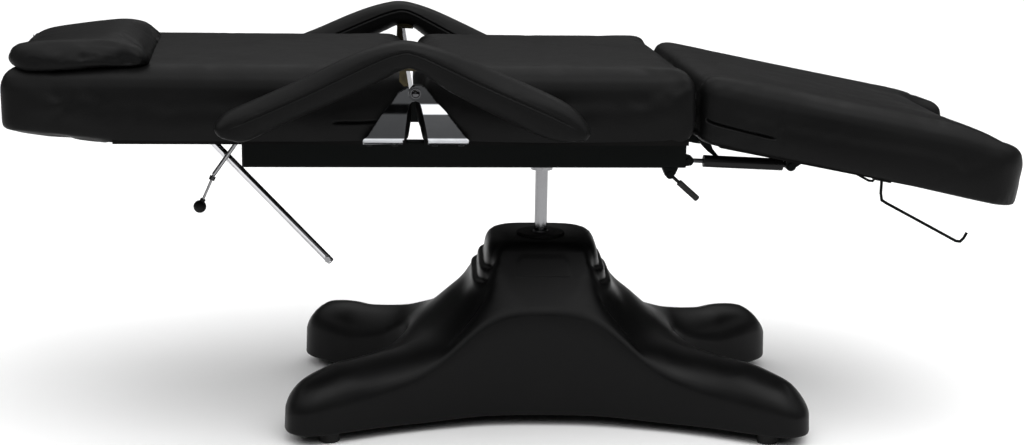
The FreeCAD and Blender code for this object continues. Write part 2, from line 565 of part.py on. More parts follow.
# roll holder: two wire hooks under the leg rest
WIRE_R = 2.6
hooks, plates = [], []
for sy in (1, -1):
    yy = sy * 278.0
    pts = [(580.5, 497.0), (580.5, 468.0), (583.0, 455.5), (592.0, 450.0), (724.0, 380.5), (732.0, 379.5), (738.0, 386.0), (743.0, 396.0)]
    path = [V(x, yy, z) for x, z in pts]
    hk = None
    for p, q in zip(path[:-1], path[1:]):
        seg = Part.makeCylinder(WIRE_R, q.sub(p).Length, p, q.sub(p))
        hk = seg if hk is None else hk.fuse(seg)
    for p in path[1:-1]:
        hk = hk.fuse(Part.makeSphere(WIRE_R, p))
    hooks.append(hk.removeSplitter())
    lx, lz = to_leg(580.5, 497.0)
    pl = turned(box(lx - 16, lx + 16, yy - 9, yy + 9, 555.3, 558.45), LEG_TILT, hx, hz)
    plates.append(pl)
hooks = [h.fuse(Part.makeCylinder(WIRE_R, 12, V(580.5, h.BoundBox.Center.y, 490), V(0, 0, 1))).removeSplitter() for h in hooks]
hooks2 = []
for h in hooks:
    h = h.cut(NODES["legrest_board"][0])
    hooks2.append(max(h.Solids, key=lambda s: s.Volume))
put("roll_hooks", *[max(h.fuse(p).removeSplitter().Solids, key=lambda s: s.Volume) for h, p in zip(hooks2, plates)])

# ---------------------------------------------------------------- armrests
ARM_LOW = [(-566, 579), (-537, 573.5), (-503, 590), (-469, 606), (-427, 625), (-385, 643.5), (-343, 663), (-302, 683.5), (-281, 695), (-260, 700), (-238, 692), (-201, 667), (-151, 639), (-108, 618), (-66, 597), (-30, 581), (2, 574.5), (24, 577)]
ARM_TOP = [(-579, 604), (-563, 618), (-524, 634), (-480, 653), (-435, 673.5), (-400, 691), (-368, 707), (-330, 724), (-293, 736), (-268, 739.5), (-240, 735.5), (-201, 724), (-150, 703), (-101, 682), (-50, 661), (0.7, 638), (28, 617), (43, 596)]


def arm_solid(lo, hi, y0, y1):
    """Slab between two curves that run from the head-side tip to the foot-side tip."""
    def curve(pts):
        c = Part.BSplineCurve()
        c.interpolate([V(x, y0, z) for x, z in pts])
        return c.toShape()
    e = [curve(lo), Part.LineSegment(V(lo[-1][0], y0, lo[-1][1]), V(hi[-1][0], y0, hi[-1][1])).toShape(),
         curve(hi), Part.LineSegment(V(hi[0][0], y0, hi[0][1]), V(lo[0][0], y0, lo[0][1])).toShape()]
    return Part.Face(Part.Wire(Part.sortEdges(e)[0])).extrude(V(0, y1 - y0, 0))


def between(f):
    return [(l[0] + f * (t[0] - l[0]), l[1] + f * (t[1] - l[1])) for l, t in zip(ARM_LOW, ARM_TOP)]


base_near = arm_solid(ARM_LOW, between(0.56), -ARM_Y1 + 2, -ARM_Y0 - 2)
pad_near = arm_solid(between(0.572), ARM_TOP, -ARM_Y1, -ARM_Y0)
pad_near = try_fillet(pad_near, 8.0, lambda e: e.BoundBox.ZMax > 700 and e.BoundBox.YLength < 1)
put("arm_base_near", base_near)
put("arm_base_far", mirror_y(base_near))
put("arm_pad_near", pad_near)
put("arm_pad_far", mirror_y(pad_near))

# post: narrow bar from the hinge bolt up to the bracket under the arm
post = prism_xz([(-250.0, 650.0), (-252.8, 659.5), (-259.2, 691.5), (-265.4, 691.5), (-260.3, 660.0), (-258.5, 652.0)], -312.7, -309.1)
post = post.fuse(cyl_y(bx, bz, -312.7, -309.1, 12.0)).removeSplitter()
post = post.cut(cyl_y(bx, bz, -330, -300, BOLT_R + FIT))
foot_plate = box(-276, -243, -352, -309.1, 691.5, 694.1)
shim = prism_xz([(-276, 694.0), (-243, 694.0), (-243, 700), (-260, 706), (-276, 703)], -352, -320.4).cut(base_near)
shim = max(shim.Solids, key=lambda s: s.Volume)
put("arm_post_near", post)
put("arm_post_far", mirror_y(post))
# bracket: foot plate under the arm, wedge up to its underside and a side gusset beside the post
gus = prism_xz([(-276, 691.6), (-264.5, 691.6), (-259.6, 661), (-268, 660), (-276, 668)], -312.7, -309.1).cut(post)
gus = max(gus.Solids, key=lambda s: s.Volume).fuse(foot_plate).fuse(shim).removeSplitter().cut(post).cut(base_near)
gus = max(gus.Solids, key=lambda s: s.Volume)
put("arm_gusset_near", gus)
put("arm_gusset_far", mirror_y(gus))

# ---------------------------------------------------------------- ball-knob lever at the head end
lx, lz = BACK_LEVER_PIVOT
LY = -40.0
ears = []
for y0, y1 in ((LY - 12, LY - 7.4), (LY + 7.4, LY + 12)):
    e = prism_xz([(RAIL_X0 - 0.02, 518), (RAIL_X0 - 0.02, 550), (lx, 547)] + arc_pts(lx, lz, 11, 90, 270, 10), y0, y1)
    ears.append(e.cut(cyl_y(lx, lz, -100, 100, 4.0 + 0.02)))
LEVER_EARS = ears
FRAME_PINS.append(cyl_y(lx, lz, LY - 14, LY + 14, 4.0).fuse(cyl_y(lx, lz, LY - 16.5, LY - 13.9, 6.5)).removeSplitter())
N1 = (-617.6, 455.2)
K = (-645.3, 393.1)
d1 = math.hypot(N1[0] - lx, N1[1] - lz)
v1 = ((N1[0] - lx) / d1, (N1[1] - lz) / d1)
lev = rod((lx + 6 * v1[0], LY, lz + 6 * v1[1]), (N1[0], LY, N1[1]), 3.8).fuse(cyl_y(lx, lz, LY - 7, LY + 7, 9.0))
lev = lev.cut(cyl_y(lx, lz, -100, 100, 4.0 + FIT))
lev = lev.fuse(rod((N1[0], LY, N1[1]), (K[0], LY, K[1]), 2.4)).fuse(Part.makeSphere(3.8, V(N1[0], LY, N1[1]))).removeSplitter()
d2 = math.hypot(K[0] - N1[0], K[1] - N1[1])
v2 = ((K[0] - N1[0]) / d2, (K[1] - N1[1]) / d2)
# the knob is turned about the lever's own axis: ball, neck and a blind hole for the rod
s5 = math.sqrt(12.0 ** 2 - 5.0 ** 2)
a5 = 0.5 * (math.atan2(-s5, 5.0) + math.pi / 2)
hole = 2.4 + 0.05
kp = [V(hole, 0, -16), V(5, 0, -16), V(5, 0, -s5), V(0, 0, 12), V(0, 0, 0.3), V(hole, 0, 0.3)]
kw = [Part.LineSegment(kp[0], kp[1]).toShape(), Part.LineSegment(kp[1], kp[2]).toShape(),
      Part.Arc(kp[2], V(12 * math.cos(a5), 0, 12 * math.sin(a5)), kp[3]).toShape(),
      Part.LineSegment(kp[3], kp[4]).toShape(), Part.LineSegment(kp[4], kp[5]).toShape(), Part.LineSegment(kp[5], kp[0]).toShape()]
kn = Part.Face(Part.Wire(kw)).revolve(V(0, 0, 0), V(0, 0, 1), 360)
kn = Part.Solid(kn) if kn.ShapeType != "Solid" else kn
kn.Placement = FreeCAD.Placement(V(K[0], LY, K[1]), FreeCAD.Rotation(V(0, 0, 1), V(v2[0], 0, v2[1])))
put("knob_lever_knob", kn)
ln = rod((N1[0] + 5 * v2[0], LY, N1[1] + 5 * v2[1]), (N1[0] + 12 * v2[0], LY, N1[1] + 12 * v2[1]), 5.6).cut(lev)
put("knob_lever_nut", ln)
put("knob_lever_rod", lev)

# ---------------------------------------------------------------- grip lever of the gas spring
gxp, gzp = LEG_LEVER_PIVOT
GY = GAS_Y
ears = []
for y0, y1 in ((GY - 10.5, GY - 6.4), (GY + 6.4, GY + 10.5)):
    e = prism_xz([(gxp - 14, RAIL_Z0 - 0.02), (gxp + 14, RAIL_Z0 - 0.02), (gxp + 9, gzp)] + arc_pts(gxp, gzp, 8, 0, -180, 10) + [(gxp - 9, gzp)], y0, y1)
    ears.append(e.cut(cyl_y(gxp, gzp, -300, -200, 3.0 + 0.02)))
put("lever_ears", *LEVER_EARS, *ears)
FRAME_PINS.append(cyl_y(gxp, gzp, GY - 12, GY + 12, 3.0).fuse(cyl_y(gxp, gzp, GY - 14, GY - 11.9, 5.0)).removeSplitter())
put("frame_pins", *FRAME_PINS)
Q = (257.0, 450.4)
d3 = math.hypot(Q[0] - gxp, Q[1] - gzp)
v3 = ((Q[0] - gxp) / d3, (Q[1] - gzp) / d3)
gr = rod((gxp + 4 * v3[0], GY, gzp + 4 * v3[1]), (gxp + 58 * v3[0], GY, gzp + 58 * v3[1]), 3.0).fuse(cyl_y(gxp, gzp, GY - 6, GY + 6, 7.0)).removeSplitter()
gr = gr.cut(cyl_y(gxp, gzp, -300, -200, 3.0 + FIT))
put("grip_lever_rod", gr)
grip = rod((gxp + 24 * v3[0], GY, gzp + 24 * v3[1]), (Q[0], GY, Q[1]), 5.6)
grip = try_fillet(grip, 2.5, lambda e: abs(e.CenterOfMass.x - Q[0]) < 1.0)
put("grip_lever_grip", grip.cut(gr))

# ---------------------------------------------------------------- write
for name in ("base_cover", "base_frame", "foot_pads", "pump_cylinder", "column_gland", "column_trim_ring", "pump_block", "pedal_pin", "pump_plunger", "pedal_arm", "pedal_pad"):
    for s in NODES[name]:
        s.rotate(V(0, 0, 0), V(0, 0, 1), BASE_TURN)
for name in ("arm_base_far", "arm_pad_far", "arm_post_far", "arm_gusset_far"):
    for s in NODES[name]:
        s.rotate(V(BACK_PIVOT[0], 0, BACK_PIVOT[1]), V(0, 1, 0), ARM_FAR_TURN)
for name, solids in NODES.items():
    out = []
    for s in solids:
        c = s.copy()
        c.translate(V(SHIFT_X, 0, 0))
        out.append(c)
    shape = out[0] if len(out) == 1 else Part.makeCompound(out)
    shape.exportStep("parts/%s.step" % name)

bb_all = Part.makeCompound([s for v in NODES.values() for s in v]).BoundBox
print(len(NODES), "nodes; box", [round(q + d, 2) for q, d in ((bb_all.XMin, SHIFT_X), (bb_all.XMax, SHIFT_X), (bb_all.YMin, 0), (bb_all.YMax, 0), (bb_all.ZMin, 0), (bb_all.ZMax, 0))])
for name, solids in NODES.items():
    print("%-26s %2d solids %12.1f mm3" % (name, len(solids), sum(s.Volume for s in solids)))
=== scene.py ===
import json
import math

import bmesh
import bpy
import numpy as np
from mathutils import Matrix, Vector
from mathutils.bvhtree import BVHTree
from mathutils.geometry import delaunay_2d_cdt


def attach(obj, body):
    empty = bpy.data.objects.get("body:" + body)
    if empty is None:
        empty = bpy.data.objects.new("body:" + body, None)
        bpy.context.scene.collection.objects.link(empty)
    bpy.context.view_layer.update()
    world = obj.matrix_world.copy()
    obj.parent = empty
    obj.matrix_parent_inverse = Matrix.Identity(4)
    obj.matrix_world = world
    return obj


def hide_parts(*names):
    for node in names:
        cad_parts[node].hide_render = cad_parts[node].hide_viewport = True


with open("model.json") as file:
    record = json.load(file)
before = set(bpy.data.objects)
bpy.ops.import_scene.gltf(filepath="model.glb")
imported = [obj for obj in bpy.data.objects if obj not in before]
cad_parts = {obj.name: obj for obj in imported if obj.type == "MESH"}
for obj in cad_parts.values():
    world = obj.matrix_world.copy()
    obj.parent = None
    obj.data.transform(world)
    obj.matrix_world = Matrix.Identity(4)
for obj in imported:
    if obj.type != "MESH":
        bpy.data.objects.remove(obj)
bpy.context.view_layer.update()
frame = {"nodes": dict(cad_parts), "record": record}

NODES = frame["nodes"]
SLOT_OF = {s["node"]: s["material_slot"] for s in frame["record"]["subparts"]}
scene = bpy.context.scene

# The bed is drawn in millimetres with the column at X = 0; this puts it in the shared frame.
SHIFT = np.array([0.0654, 0.0, 0.0])
HALF_W = 301.0
LEG_PIVOT = (248.0, 546.0)
LEG_TILT = math.radians(11.0)
BASE_TURN = math.radians(-2.4)


def mm(co):
    return np.asarray(co, float) / 1000.0 + SHIFT


def from_mm(x, y, z):
    return Vector((x / 1000.0 + SHIFT[0], y / 1000.0, z / 1000.0))


# ------------------------------------------------------------------ mesh helpers
def new_obj(name, verts, faces):
    me = bpy.data.meshes.new(name)
    me.from_pydata([tuple(v) for v in verts], [], [tuple(int(i) for i in f) for f in faces])
    me.validate()
    ob = bpy.data.objects.new(name, me)
    scene.collection.objects.link(ob)
    smooth(ob)
    return ob


def smooth(ob):
    me = ob.data
    me.polygons.foreach_set("use_smooth", np.ones(len(me.polygons), bool))
    me.update()


def coords(ob):
    co = np.empty(len(ob.data.vertices) * 3, np.float32)
    ob.data.vertices.foreach_get("co", co)
    return co.reshape(-1, 3).astype(float)


def normals(ob):
    ob.data.update()
    n = np.empty(len(ob.data.vertices) * 3, np.float32)
    ob.data.vertex_normals.foreach_get("vector", n)
    return n.reshape(-1, 3).astype(float)


def set_coords(ob, co):
    ob.data.vertices.foreach_set("co", np.ascontiguousarray(co, np.float32).ravel())
    ob.data.update()


def edges_of(ob):
    e = np.empty(len(ob.data.edges) * 2, np.int32)
    ob.data.edges.foreach_get("vertices", e)
    return e.reshape(-1, 2)


def bake_mods(ob):
    bpy.context.view_layer.update()
    dg = bpy.context.evaluated_depsgraph_get()
    me = bpy.data.meshes.new_from_object(ob.evaluated_get(dg))
    old = ob.data
    ob.modifiers.clear()
    ob.data = me
    me.name = ob.name
    bpy.data.meshes.remove(old)
    smooth(ob)


def relax(ob, rounds, lam=0.5, mu=-0.52, weight=None):
    """Taubin smoothing, which keeps the volume."""
    e = edges_of(ob)
    co = coords(ob)
    n = len(co)
    deg = np.bincount(e.ravel(), minlength=n).astype(float)[:, None]
    w = 1.0 if weight is None else weight[:, None]
    for _ in range(rounds):
        for f in (lam, mu):
            acc = np.zeros_like(co)
            for k in range(3):
                acc[:, k] = np.bincount(e[:, 0], co[e[:, 1], k], n) + np.bincount(e[:, 1], co[e[:, 0], k], n)
            co = co + w * f * (acc / deg - co)
    set_coords(ob, co)


def remesh(ob, voxel):
    m = ob.modifiers.new("remesh", "REMESH")
    m.mode = "VOXEL"
    m.voxel_size = voxel
    bake_mods(ob)


def subdivide(ob, levels=1):
    m = ob.modifiers.new("sub", "SUBSURF")
    m.levels = m.render_levels = levels
    bake_mods(ob)


def stuff(ob, pin, cap, pressure=4.0, frames=18, shrink=0.0, bend=0.6, tension=14.0):
    """Cloth under inner pressure; a point moves at most cap metres, and pinned points stay."""
    old = coords(ob)
    g = ob.vertex_groups.new(name="pin")
    for i in np.nonzero(pin > 0.01)[0]:
        g.add([int(i)], float(pin[i]), "REPLACE")
    m = ob.modifiers.new("cloth", "CLOTH")
    s = m.settings
    s.quality = 4
    s.mass = 0.25
    s.tension_stiffness = s.compression_stiffness = tension
    s.shear_stiffness = 5.0
    s.bending_stiffness = bend
    s.tension_damping = s.compression_damping = s.shear_damping = 8.0
    s.air_damping = 2.0
    s.use_pressure = True
    s.uniform_pressure_force = pressure
    s.shrink_min = shrink
    s.effector_weights.gravity = 0.0
    s.vertex_group_mass = "pin"
    s.pin_stiffness = 1.0
    m.collision_settings.use_collision = False
    m.collision_settings.use_self_collision = False
    m.point_cache.frame_start, m.point_cache.frame_end = 1, frames
    for f in range(1, frames + 1):
        scene.frame_set(f)
    dg = bpy.context.evaluated_depsgraph_get()
    ev = ob.evaluated_get(dg).data
    new = np.empty(len(ev.vertices) * 3, np.float32)
    ev.vertices.foreach_get("co", new)
    new = new.reshape(-1, 3).astype(float)
    ob.modifiers.clear()
    ob.vertex_groups.clear()
    scene.frame_set(1)
    d = np.nan_to_num(new - old)
    length = np.linalg.norm(d, axis=1)
    limit = cap * np.tanh(length / cap)
    d *= (limit / np.maximum(length, 1e-9))[:, None]
    set_coords(ob, old + d)


def nearest_on(ob, pts):
    bm = bmesh.new()
    bm.from_mesh(ob.data)
    tree = BVHTree.FromBMesh(bm)
    out = []
    for p in pts:
        q = tree.find_nearest(Vector(p))[0]
        out.append(q if q is not None else Vector(p))
    bm.free()
    return np.array([tuple(q) for q in out])


def along(path, step):
    """Evenly spaced points on a polyline, and their distance along it."""
    path = np.asarray(path, float)
    seg = np.linalg.norm(np.diff(path, axis=0), axis=1)
    s = np.concatenate([[0], np.cumsum(seg)])
    t = np.linspace(0, s[-1], max(3, int(s[-1] / step)))
    return np.stack([np.interp(t, s, path[:, k]) for k in range(3)], 1), t


def path_distance(pts, path):
    """Distance of points to a polyline, and the position along it of the nearest point."""
    path = np.asarray(path, float)
    a, b = path[:-1], path[1:]
    ab = b - a
    l2 = np.maximum((ab ** 2).sum(1), 1e-12)
    seg = np.sqrt(l2)
    start = np.concatenate([[0], np.cumsum(seg)])[:-1]
    best = np.full(len(pts), 1e9)
    where = np.zeros(len(pts))
    for k in range(0, len(pts), 1500):
        p = pts[k:k + 1500, None, :]
        t = np.clip(((p - a) * ab).sum(2) / l2, 0, 1)
        d = np.sqrt((((a + t[..., None] * ab) - p) ** 2).sum(2))
        i = d.argmin(1)
        r = np.arange(len(i))
        best[k:k + 1500] = d[r, i]
        where[k:k + 1500] = start[i] + t[r, i] * seg[i]
    return best, where


def refine_near(ob, path, radii):
    """Splits the faces near a path, once per radius."""
    for radius in radii:
        co = coords(ob)
        lo, hi = path.min(0) - radius, path.max(0) + radius
        cand = np.nonzero(((co > lo) & (co < hi)).all(1))[0]
        near = np.zeros(len(co), bool)
        if len(cand):
            near[cand] = path_distance(co[cand], path)[0] < radius
        bm = bmesh.new()
        bm.from_mesh(ob.data)
        bm.verts.ensure_lookup_table()
        edges = [e for e in bm.edges if near[e.verts[0].index] and near[e.verts[1].index]]
        bmesh.ops.subdivide_edges(bm, edges=edges, cuts=1, use_grid_fill=True, smooth=0.0)
        bm.to_mesh(ob.data)
        bm.free()
        smooth(ob)


def sew(ob, path, depth, width, lips=0.0, fade=None, radii=(0.013, 0.008, 0.005)):
    """A sewn seam or slit: a real groove along the path, with raised lips beside it."""
    path = nearest_on(ob, along(path, 0.004)[0])
    refine_near(ob, path, radii)
    co, n = coords(ob), normals(ob)
    d, t = path_distance(co, path)
    total = np.linalg.norm(np.diff(path, axis=0), axis=1).sum()
    k = np.ones(len(co))
    if fade:
        k = np.clip(t / fade[0], 0, 1) if fade[0] else k
        k = k * (np.clip((total - t) / fade[1], 0, 1) if fade[1] else 1.0)
    g = -depth * np.exp(-(d / width) ** 2) + lips * np.exp(-((d - 2.6 * width) / (1.5 * width)) ** 2)
    near = d < 8 * width
    co[near] += n[near] * (g * k)[near][:, None]
    set_coords(ob, co)
    return path


def tube(name, path, radius, sides=8, closed=False):
    """Round thread along a path."""
    path = np.asarray(path, float)
    n = len(path)
    if closed:
        tan = np.roll(path, -1, 0) - np.roll(path, 1, 0)
    else:
        tan = np.gradient(path, axis=0)
    tan /= np.maximum(np.linalg.norm(tan, axis=1), 1e-9)[:, None]
    ref = np.array([0.0, 1.0, 0.0])
    verts, faces = [], []
    for p, t in zip(path, tan):
        u = np.cross(t, ref)
        if np.linalg.norm(u) < 1e-3:
            u = np.cross(t, [1.0, 0, 0])
        u /= np.linalg.norm(u)
        v = np.cross(t, u)
        for k in range(sides):
            a = 2 * math.pi * k / sides
            verts.append(p + radius * (math.cos(a) * u + math.sin(a) * v))
    for i in range(n if closed else n - 1):
        j = (i + 1) % n
        for k in range(sides):
            q = (k + 1) % sides
            faces.append((i * sides + k, i * sides + q, j * sides + q, j * sides + k))
    if not closed:
        faces.append(tuple(range(sides))[::-1])
        faces.append(tuple((n - 1) * sides + k for k in range(sides)))
    return new_obj(name, verts, faces)


# ------------------------------------------------------------------ outlines
def round_poly(pts, radii, n=10):
    out = []
    m = len(pts)
    for i in range(m):
        p0, p1, p2 = (np.array(pts[(i + k) % m], float) for k in (-1, 0, 1))
        a, b = p0 - p1, p2 - p1
        a, b = a / np.linalg.norm(a), b / np.linalg.norm(b)
        half = math.acos(max(-1, min(1, float(a @ b)))) / 2
        r = radii[i]
        if r <= 0:
            out.append(p1)
            continue
        s, e = p1 + a * r / math.tan(half), p1 + b * r / math.tan(half)
        bis = (a + b) / np.linalg.norm(a + b)
        c = p1 + bis * r / math.sin(half)
        for k in range(n + 1):
            f = k / n
            q = (s - c) * math.sin((1 - f) * (math.pi - 2 * half)) + (e - c) * math.sin(f * (math.pi - 2 * half))
            out.append(c + q / math.sin(math.pi - 2 * half))
    return np.array(out)


def resample(poly, step):
    p = np.vstack([poly, poly[:1]])
    s = np.concatenate([[0], np.cumsum(np.linalg.norm(np.diff(p, axis=0), axis=1))])
    t = np.linspace(0, s[-1], int(round(s[-1] / step)), endpoint=False)
    return np.stack([np.interp(t, s, p[:, 0]), np.interp(t, s, p[:, 1])], 1)


def spline_closed(pts, per=12):
    pts = np.asarray(pts, float)
    p0, p1, p2, p3 = np.roll(pts, 1, 0), pts, np.roll(pts, -1, 0), np.roll(pts, -2, 0)
    out = []
    for k in range(per):
        t = k / per
        out.append(0.5 * ((2 * p1) + (-p0 + p2) * t + (2 * p0 - 5 * p1 + 4 * p2 - p3) * t ** 2 + (-p0 + 3 * p1 - 3 * p2 + p3) * t ** 3))
    return np.stack(out, 1).reshape(-1, pts.shape[1])


def spline_open(pts, per=10):
    pts = np.asarray(pts, float)
    ext = np.vstack([2 * pts[0] - pts[1], pts, 2 * pts[-1] - pts[-2]])
    out = []
    for i in range(len(pts) - 1):
        p0, p1, p2, p3 = ext[i:i + 4]
        for k in range(per):
            t = k / per
            out.append(0.5 * ((2 * p1) + (-p0 + p2) * t + (2 * p0 - 5 * p1 + 4 * p2 - p3) * t ** 2 + (-p0 + 3 * p1 - 3 * p2 + p3) * t ** 3))
    out.append(pts[-1])
    return np.array(out)


def edge_distance(poly, pts):
    a, b = poly, np.roll(poly, -1, 0)
    ab = b - a
    l2 = (ab ** 2).sum(1)
    out = np.empty(len(pts))
    for k in range(0, len(pts), 1500):
        p = pts[k:k + 1500, None, :]
        t = np.clip(((p - a) * ab).sum(2) / l2, 0, 1)
        out[k:k + 1500] = np.sqrt((((a + t[..., None] * ab) - p) ** 2).sum(2).min(1))
    return out


def inside(poly, pts):
    x, y = pts[:, 0], pts[:, 1]
    res = np.zeros(len(pts), bool)
    j = len(poly) - 1
    for i in range(len(poly)):
        xi, yi, xj, yj = poly[i][0], poly[i][1], poly[j][0], poly[j][1]
        c = (yi > y) != (yj > y)
        if yi != yj:
            res ^= c & (x < (xj - xi) * (y - yi) / (yj - yi) + xi)
        j = i
    return res


def quarter(d, r):
    d = np.minimum(d, r)
    return np.sqrt(np.maximum(r * r - (r - d) ** 2, 0.0)) - r


def slab(name, outline, top, bottom, r_top, r_bot, grid=7.0, ends=()):
    """Closed pad over an outline; top and bottom give heights (mm), the rims are rounded.

    ends lists straight ends as (x, sign, radius): there the upper rim gets its own radius."""
    ring = resample(outline, grid)
    lo, hi = ring.min(0), ring.max(0)
    gx, gy = np.meshgrid(np.arange(lo[0], hi[0], grid), np.arange(lo[1], hi[1], grid))
    pts = np.stack([gx.ravel(), gy.ravel()], 1)
    pts = pts[inside(ring, pts)]
    pts = pts[edge_distance(ring, pts) > 0.45 * grid]
    both = np.vstack([ring, pts])
    n = len(ring)
    res = delaunay_2d_cdt([Vector(p) for p in both], [(i, (i + 1) % n) for i in range(n)], [], 1, 1e-5)
    p2 = np.array([tuple(v) for v in res[0]])
    assert len(p2) == len(both)
    tri = [tuple(f) for f in res[2]]
    d = edge_distance(ring, p2)
    d[:n] = 0.0
    dt, rt_ = d.copy(), np.full(len(d), float(r_top))
    for x0, sign, r_end in ends:
        d_end = sign * (x0 - p2[:, 0])
        d_side = np.abs(ring[:, 1]).max() - np.abs(p2[:, 1])
        near_end = (d_end < r_top * 1.6) & (d_side > d_end)
        k = np.clip((d_side - d_end) / 24.0, 0, 1) * near_end
        rt_ = np.where(near_end, r_top + (r_end - r_top) * k, rt_)
    zt = top(p2[:, 0], p2[:, 1], d) + quarter(dt, rt_)
    zb = bottom(p2[:, 0], p2[:, 1], d) - quarter(d, r_bot)
    m = len(p2)
    verts = np.vstack([np.c_[p2, zt], np.c_[p2, zb]])
    faces = list(tri) + [tuple(i + m for i in reversed(f)) for f in tri]
    area = sum((ring[i][0] * ring[(i + 1) % n][1] - ring[(i + 1) % n][0] * ring[i][1]) for i in range(n))
    for i in range(n):
        j = (i + 1) % n
        faces.append((i, i + m, j + m, j) if area > 0 else (j, j + m, i + m, i))
    return verts, faces


def step01(x, a, b):
    t = np.clip((x - a) / (b - a), 0, 1)
    return t * t * (3 - 2 * t)


# ------------------------------------------------------------------ materials
def tree_of(name):
    m = bpy.data.materials.new(name)
    m.use_nodes = True
    nt = m.node_tree
    nt.nodes.clear()
    out = nt.nodes.new("ShaderNodeOutputMaterial")
    bsdf = nt.nodes.new("ShaderNodeBsdfPrincipled")
    nt.links.new(bsdf.outputs[0], out.inputs[0])
    tc = nt.nodes.new("ShaderNodeTexCoord")
    return m, nt, bsdf, tc.outputs["Object"]


def noise(nt, vec, scale, detail=3.0, rough=0.55, distort=0.0):
    n = nt.nodes.new("ShaderNodeTexNoise")
    n.inputs["Scale"].default_value = scale
    n.inputs["Detail"].default_value = detail
    n.inputs["Roughness"].default_value = rough
    n.inputs["Distortion"].default_value = distort
    nt.links.new(vec, n.inputs["Vector"])
    return n.outputs["Fac"]


def voronoi(nt, vec, scale, feature="F1", rand=1.0):
    n = nt.nodes.new("ShaderNodeTexVoronoi")
    n.feature = feature
    n.inputs["Scale"].default_value = scale
    n.inputs["Randomness"].default_value = rand
    nt.links.new(vec, n.inputs["Vector"])
    return n.outputs["Distance"]


def ramp(nt, fac, stops):
    r = nt.nodes.new("ShaderNodeValToRGB")
    el = r.color_ramp.elements
    while len(el) > 1:
        el.remove(el[0])
    el[0].position, el[0].color = stops[0][0], (*stops[0][1], 1)
    for p, c in stops[1:]:
        e = el.new(p)
        e.color = (*c, 1)
    nt.links.new(fac, r.inputs[0])
    return r.outputs[0]


def mapped(nt, fac, lo, hi, a=0.3, b=0.7):
    r = nt.nodes.new("ShaderNodeMapRange")
    r.inputs["From Min"].default_value, r.inputs["From Max"].default_value = a, b
    r.inputs["To Min"].default_value, r.inputs["To Max"].default_value = lo, hi
    nt.links.new(fac, r.inputs["Value"])
    return r.outputs[0]


def stretched(nt, vec, scale, rot=(0, 0, 0)):
    m = nt.nodes.new("ShaderNodeMapping")
    m.inputs["Scale"].default_value = scale
    m.inputs["Rotation"].default_value = rot
    nt.links.new(vec, m.inputs["Vector"])
    return m.outputs[0]


def math_node(nt, op, a, b):
    n = nt.nodes.new("ShaderNodeMath")
    n.operation = op
    for s, v in zip(n.inputs, (a, b)):
        if isinstance(v, (int, float)):
            s.default_value = v
        else:
            nt.links.new(v, s)
    return n.outputs[0]


def bump(nt, bsdf, height, strength, dist):
    b = nt.nodes.new("ShaderNodeBump")
    b.inputs["Strength"].default_value = strength
    b.inputs["Distance"].default_value = dist
    nt.links.new(height, b.inputs["Height"])
    nt.links.new(b.outputs[0], bsdf.inputs["Normal"])


def mix_colour(nt, fac, a, b):
    m = nt.nodes.new("ShaderNodeMix")
    m.data_type = "RGBA"
    nt.links.new(fac, m.inputs[0])
    for s, v in ((m.inputs[6], a), (m.inputs[7], b)):
        if isinstance(v, tuple):
            s.default_value = (*v, 1)
        else:
            nt.links.new(v, s)
    return m.outputs[2]


def leatherette(name, tone=1.0):
    m, nt, bsdf, vec = tree_of(name)
    cells = voronoi(nt, vec, 620.0)
    fine = noise(nt, vec, 1500.0, 4.0, 0.6)
    pull = noise(nt, vec, 9.0, 4.0, 0.6, 0.4)
    broad = noise(nt, vec, 2.2, 2.0)
    c = ramp(nt, broad, [(0.25, (0.0026 * tone, 0.0026 * tone, 0.00265 * tone)), (0.75, (0.0040 * tone, 0.0040 * tone, 0.00405 * tone))])
    pits = ramp(nt, cells, [(0.0, (0.55, 0.55, 0.55)), (0.35, (1, 1, 1))])
    mul = nt.nodes.new("ShaderNodeMix")
    mul.data_type = "RGBA"
    mul.blend_type = "MULTIPLY"
    mul.inputs[0].default_value = 1.0
    nt.links.new(c, mul.inputs[6])
    nt.links.new(pits, mul.inputs[7])
    nt.links.new(mul.outputs[2], bsdf.inputs["Base Color"])
    nt.links.new(mapped(nt, pull, 0.40, 0.54), bsdf.inputs["Roughness"])
    bsdf.inputs["Specular IOR Level"].default_value = 0.085
    grain = math_node(nt, "ADD", math_node(nt, "MULTIPLY", cells, 0.7), math_node(nt, "MULTIPLY", fine, 0.25))
    both = math_node(nt, "ADD", grain, math_node(nt, "MULTIPLY", pull, 1.6))
    bump(nt, bsdf, both, 0.22, 0.0010)
    return m


def gloss_plastic(name, tone=1.0):
    m, nt, bsdf, vec = tree_of(name)
    peel = noise(nt, vec, 42.0, 2.0)
    fine = noise(nt, vec, 700.0, 3.0)
    dust = noise(nt, vec, 11.0, 6.0, 0.65)
    c = ramp(nt, dust, [(0.35, (0.0023 * tone, 0.0023 * tone, 0.0024 * tone)), (0.8, (0.0037 * tone, 0.0037 * tone, 0.0038 * tone))])
    nt.links.new(c, bsdf.inputs["Base Color"])
    nt.links.new(mapped(nt, dust, 0.36, 0.46), bsdf.inputs["Roughness"])
    bsdf.inputs["Specular IOR Level"].default_value = 0.12
    bump(nt, bsdf, math_node(nt, "ADD", peel, math_node(nt, "MULTIPLY", fine, 0.05)), 0.10, 0.0008)
    return m


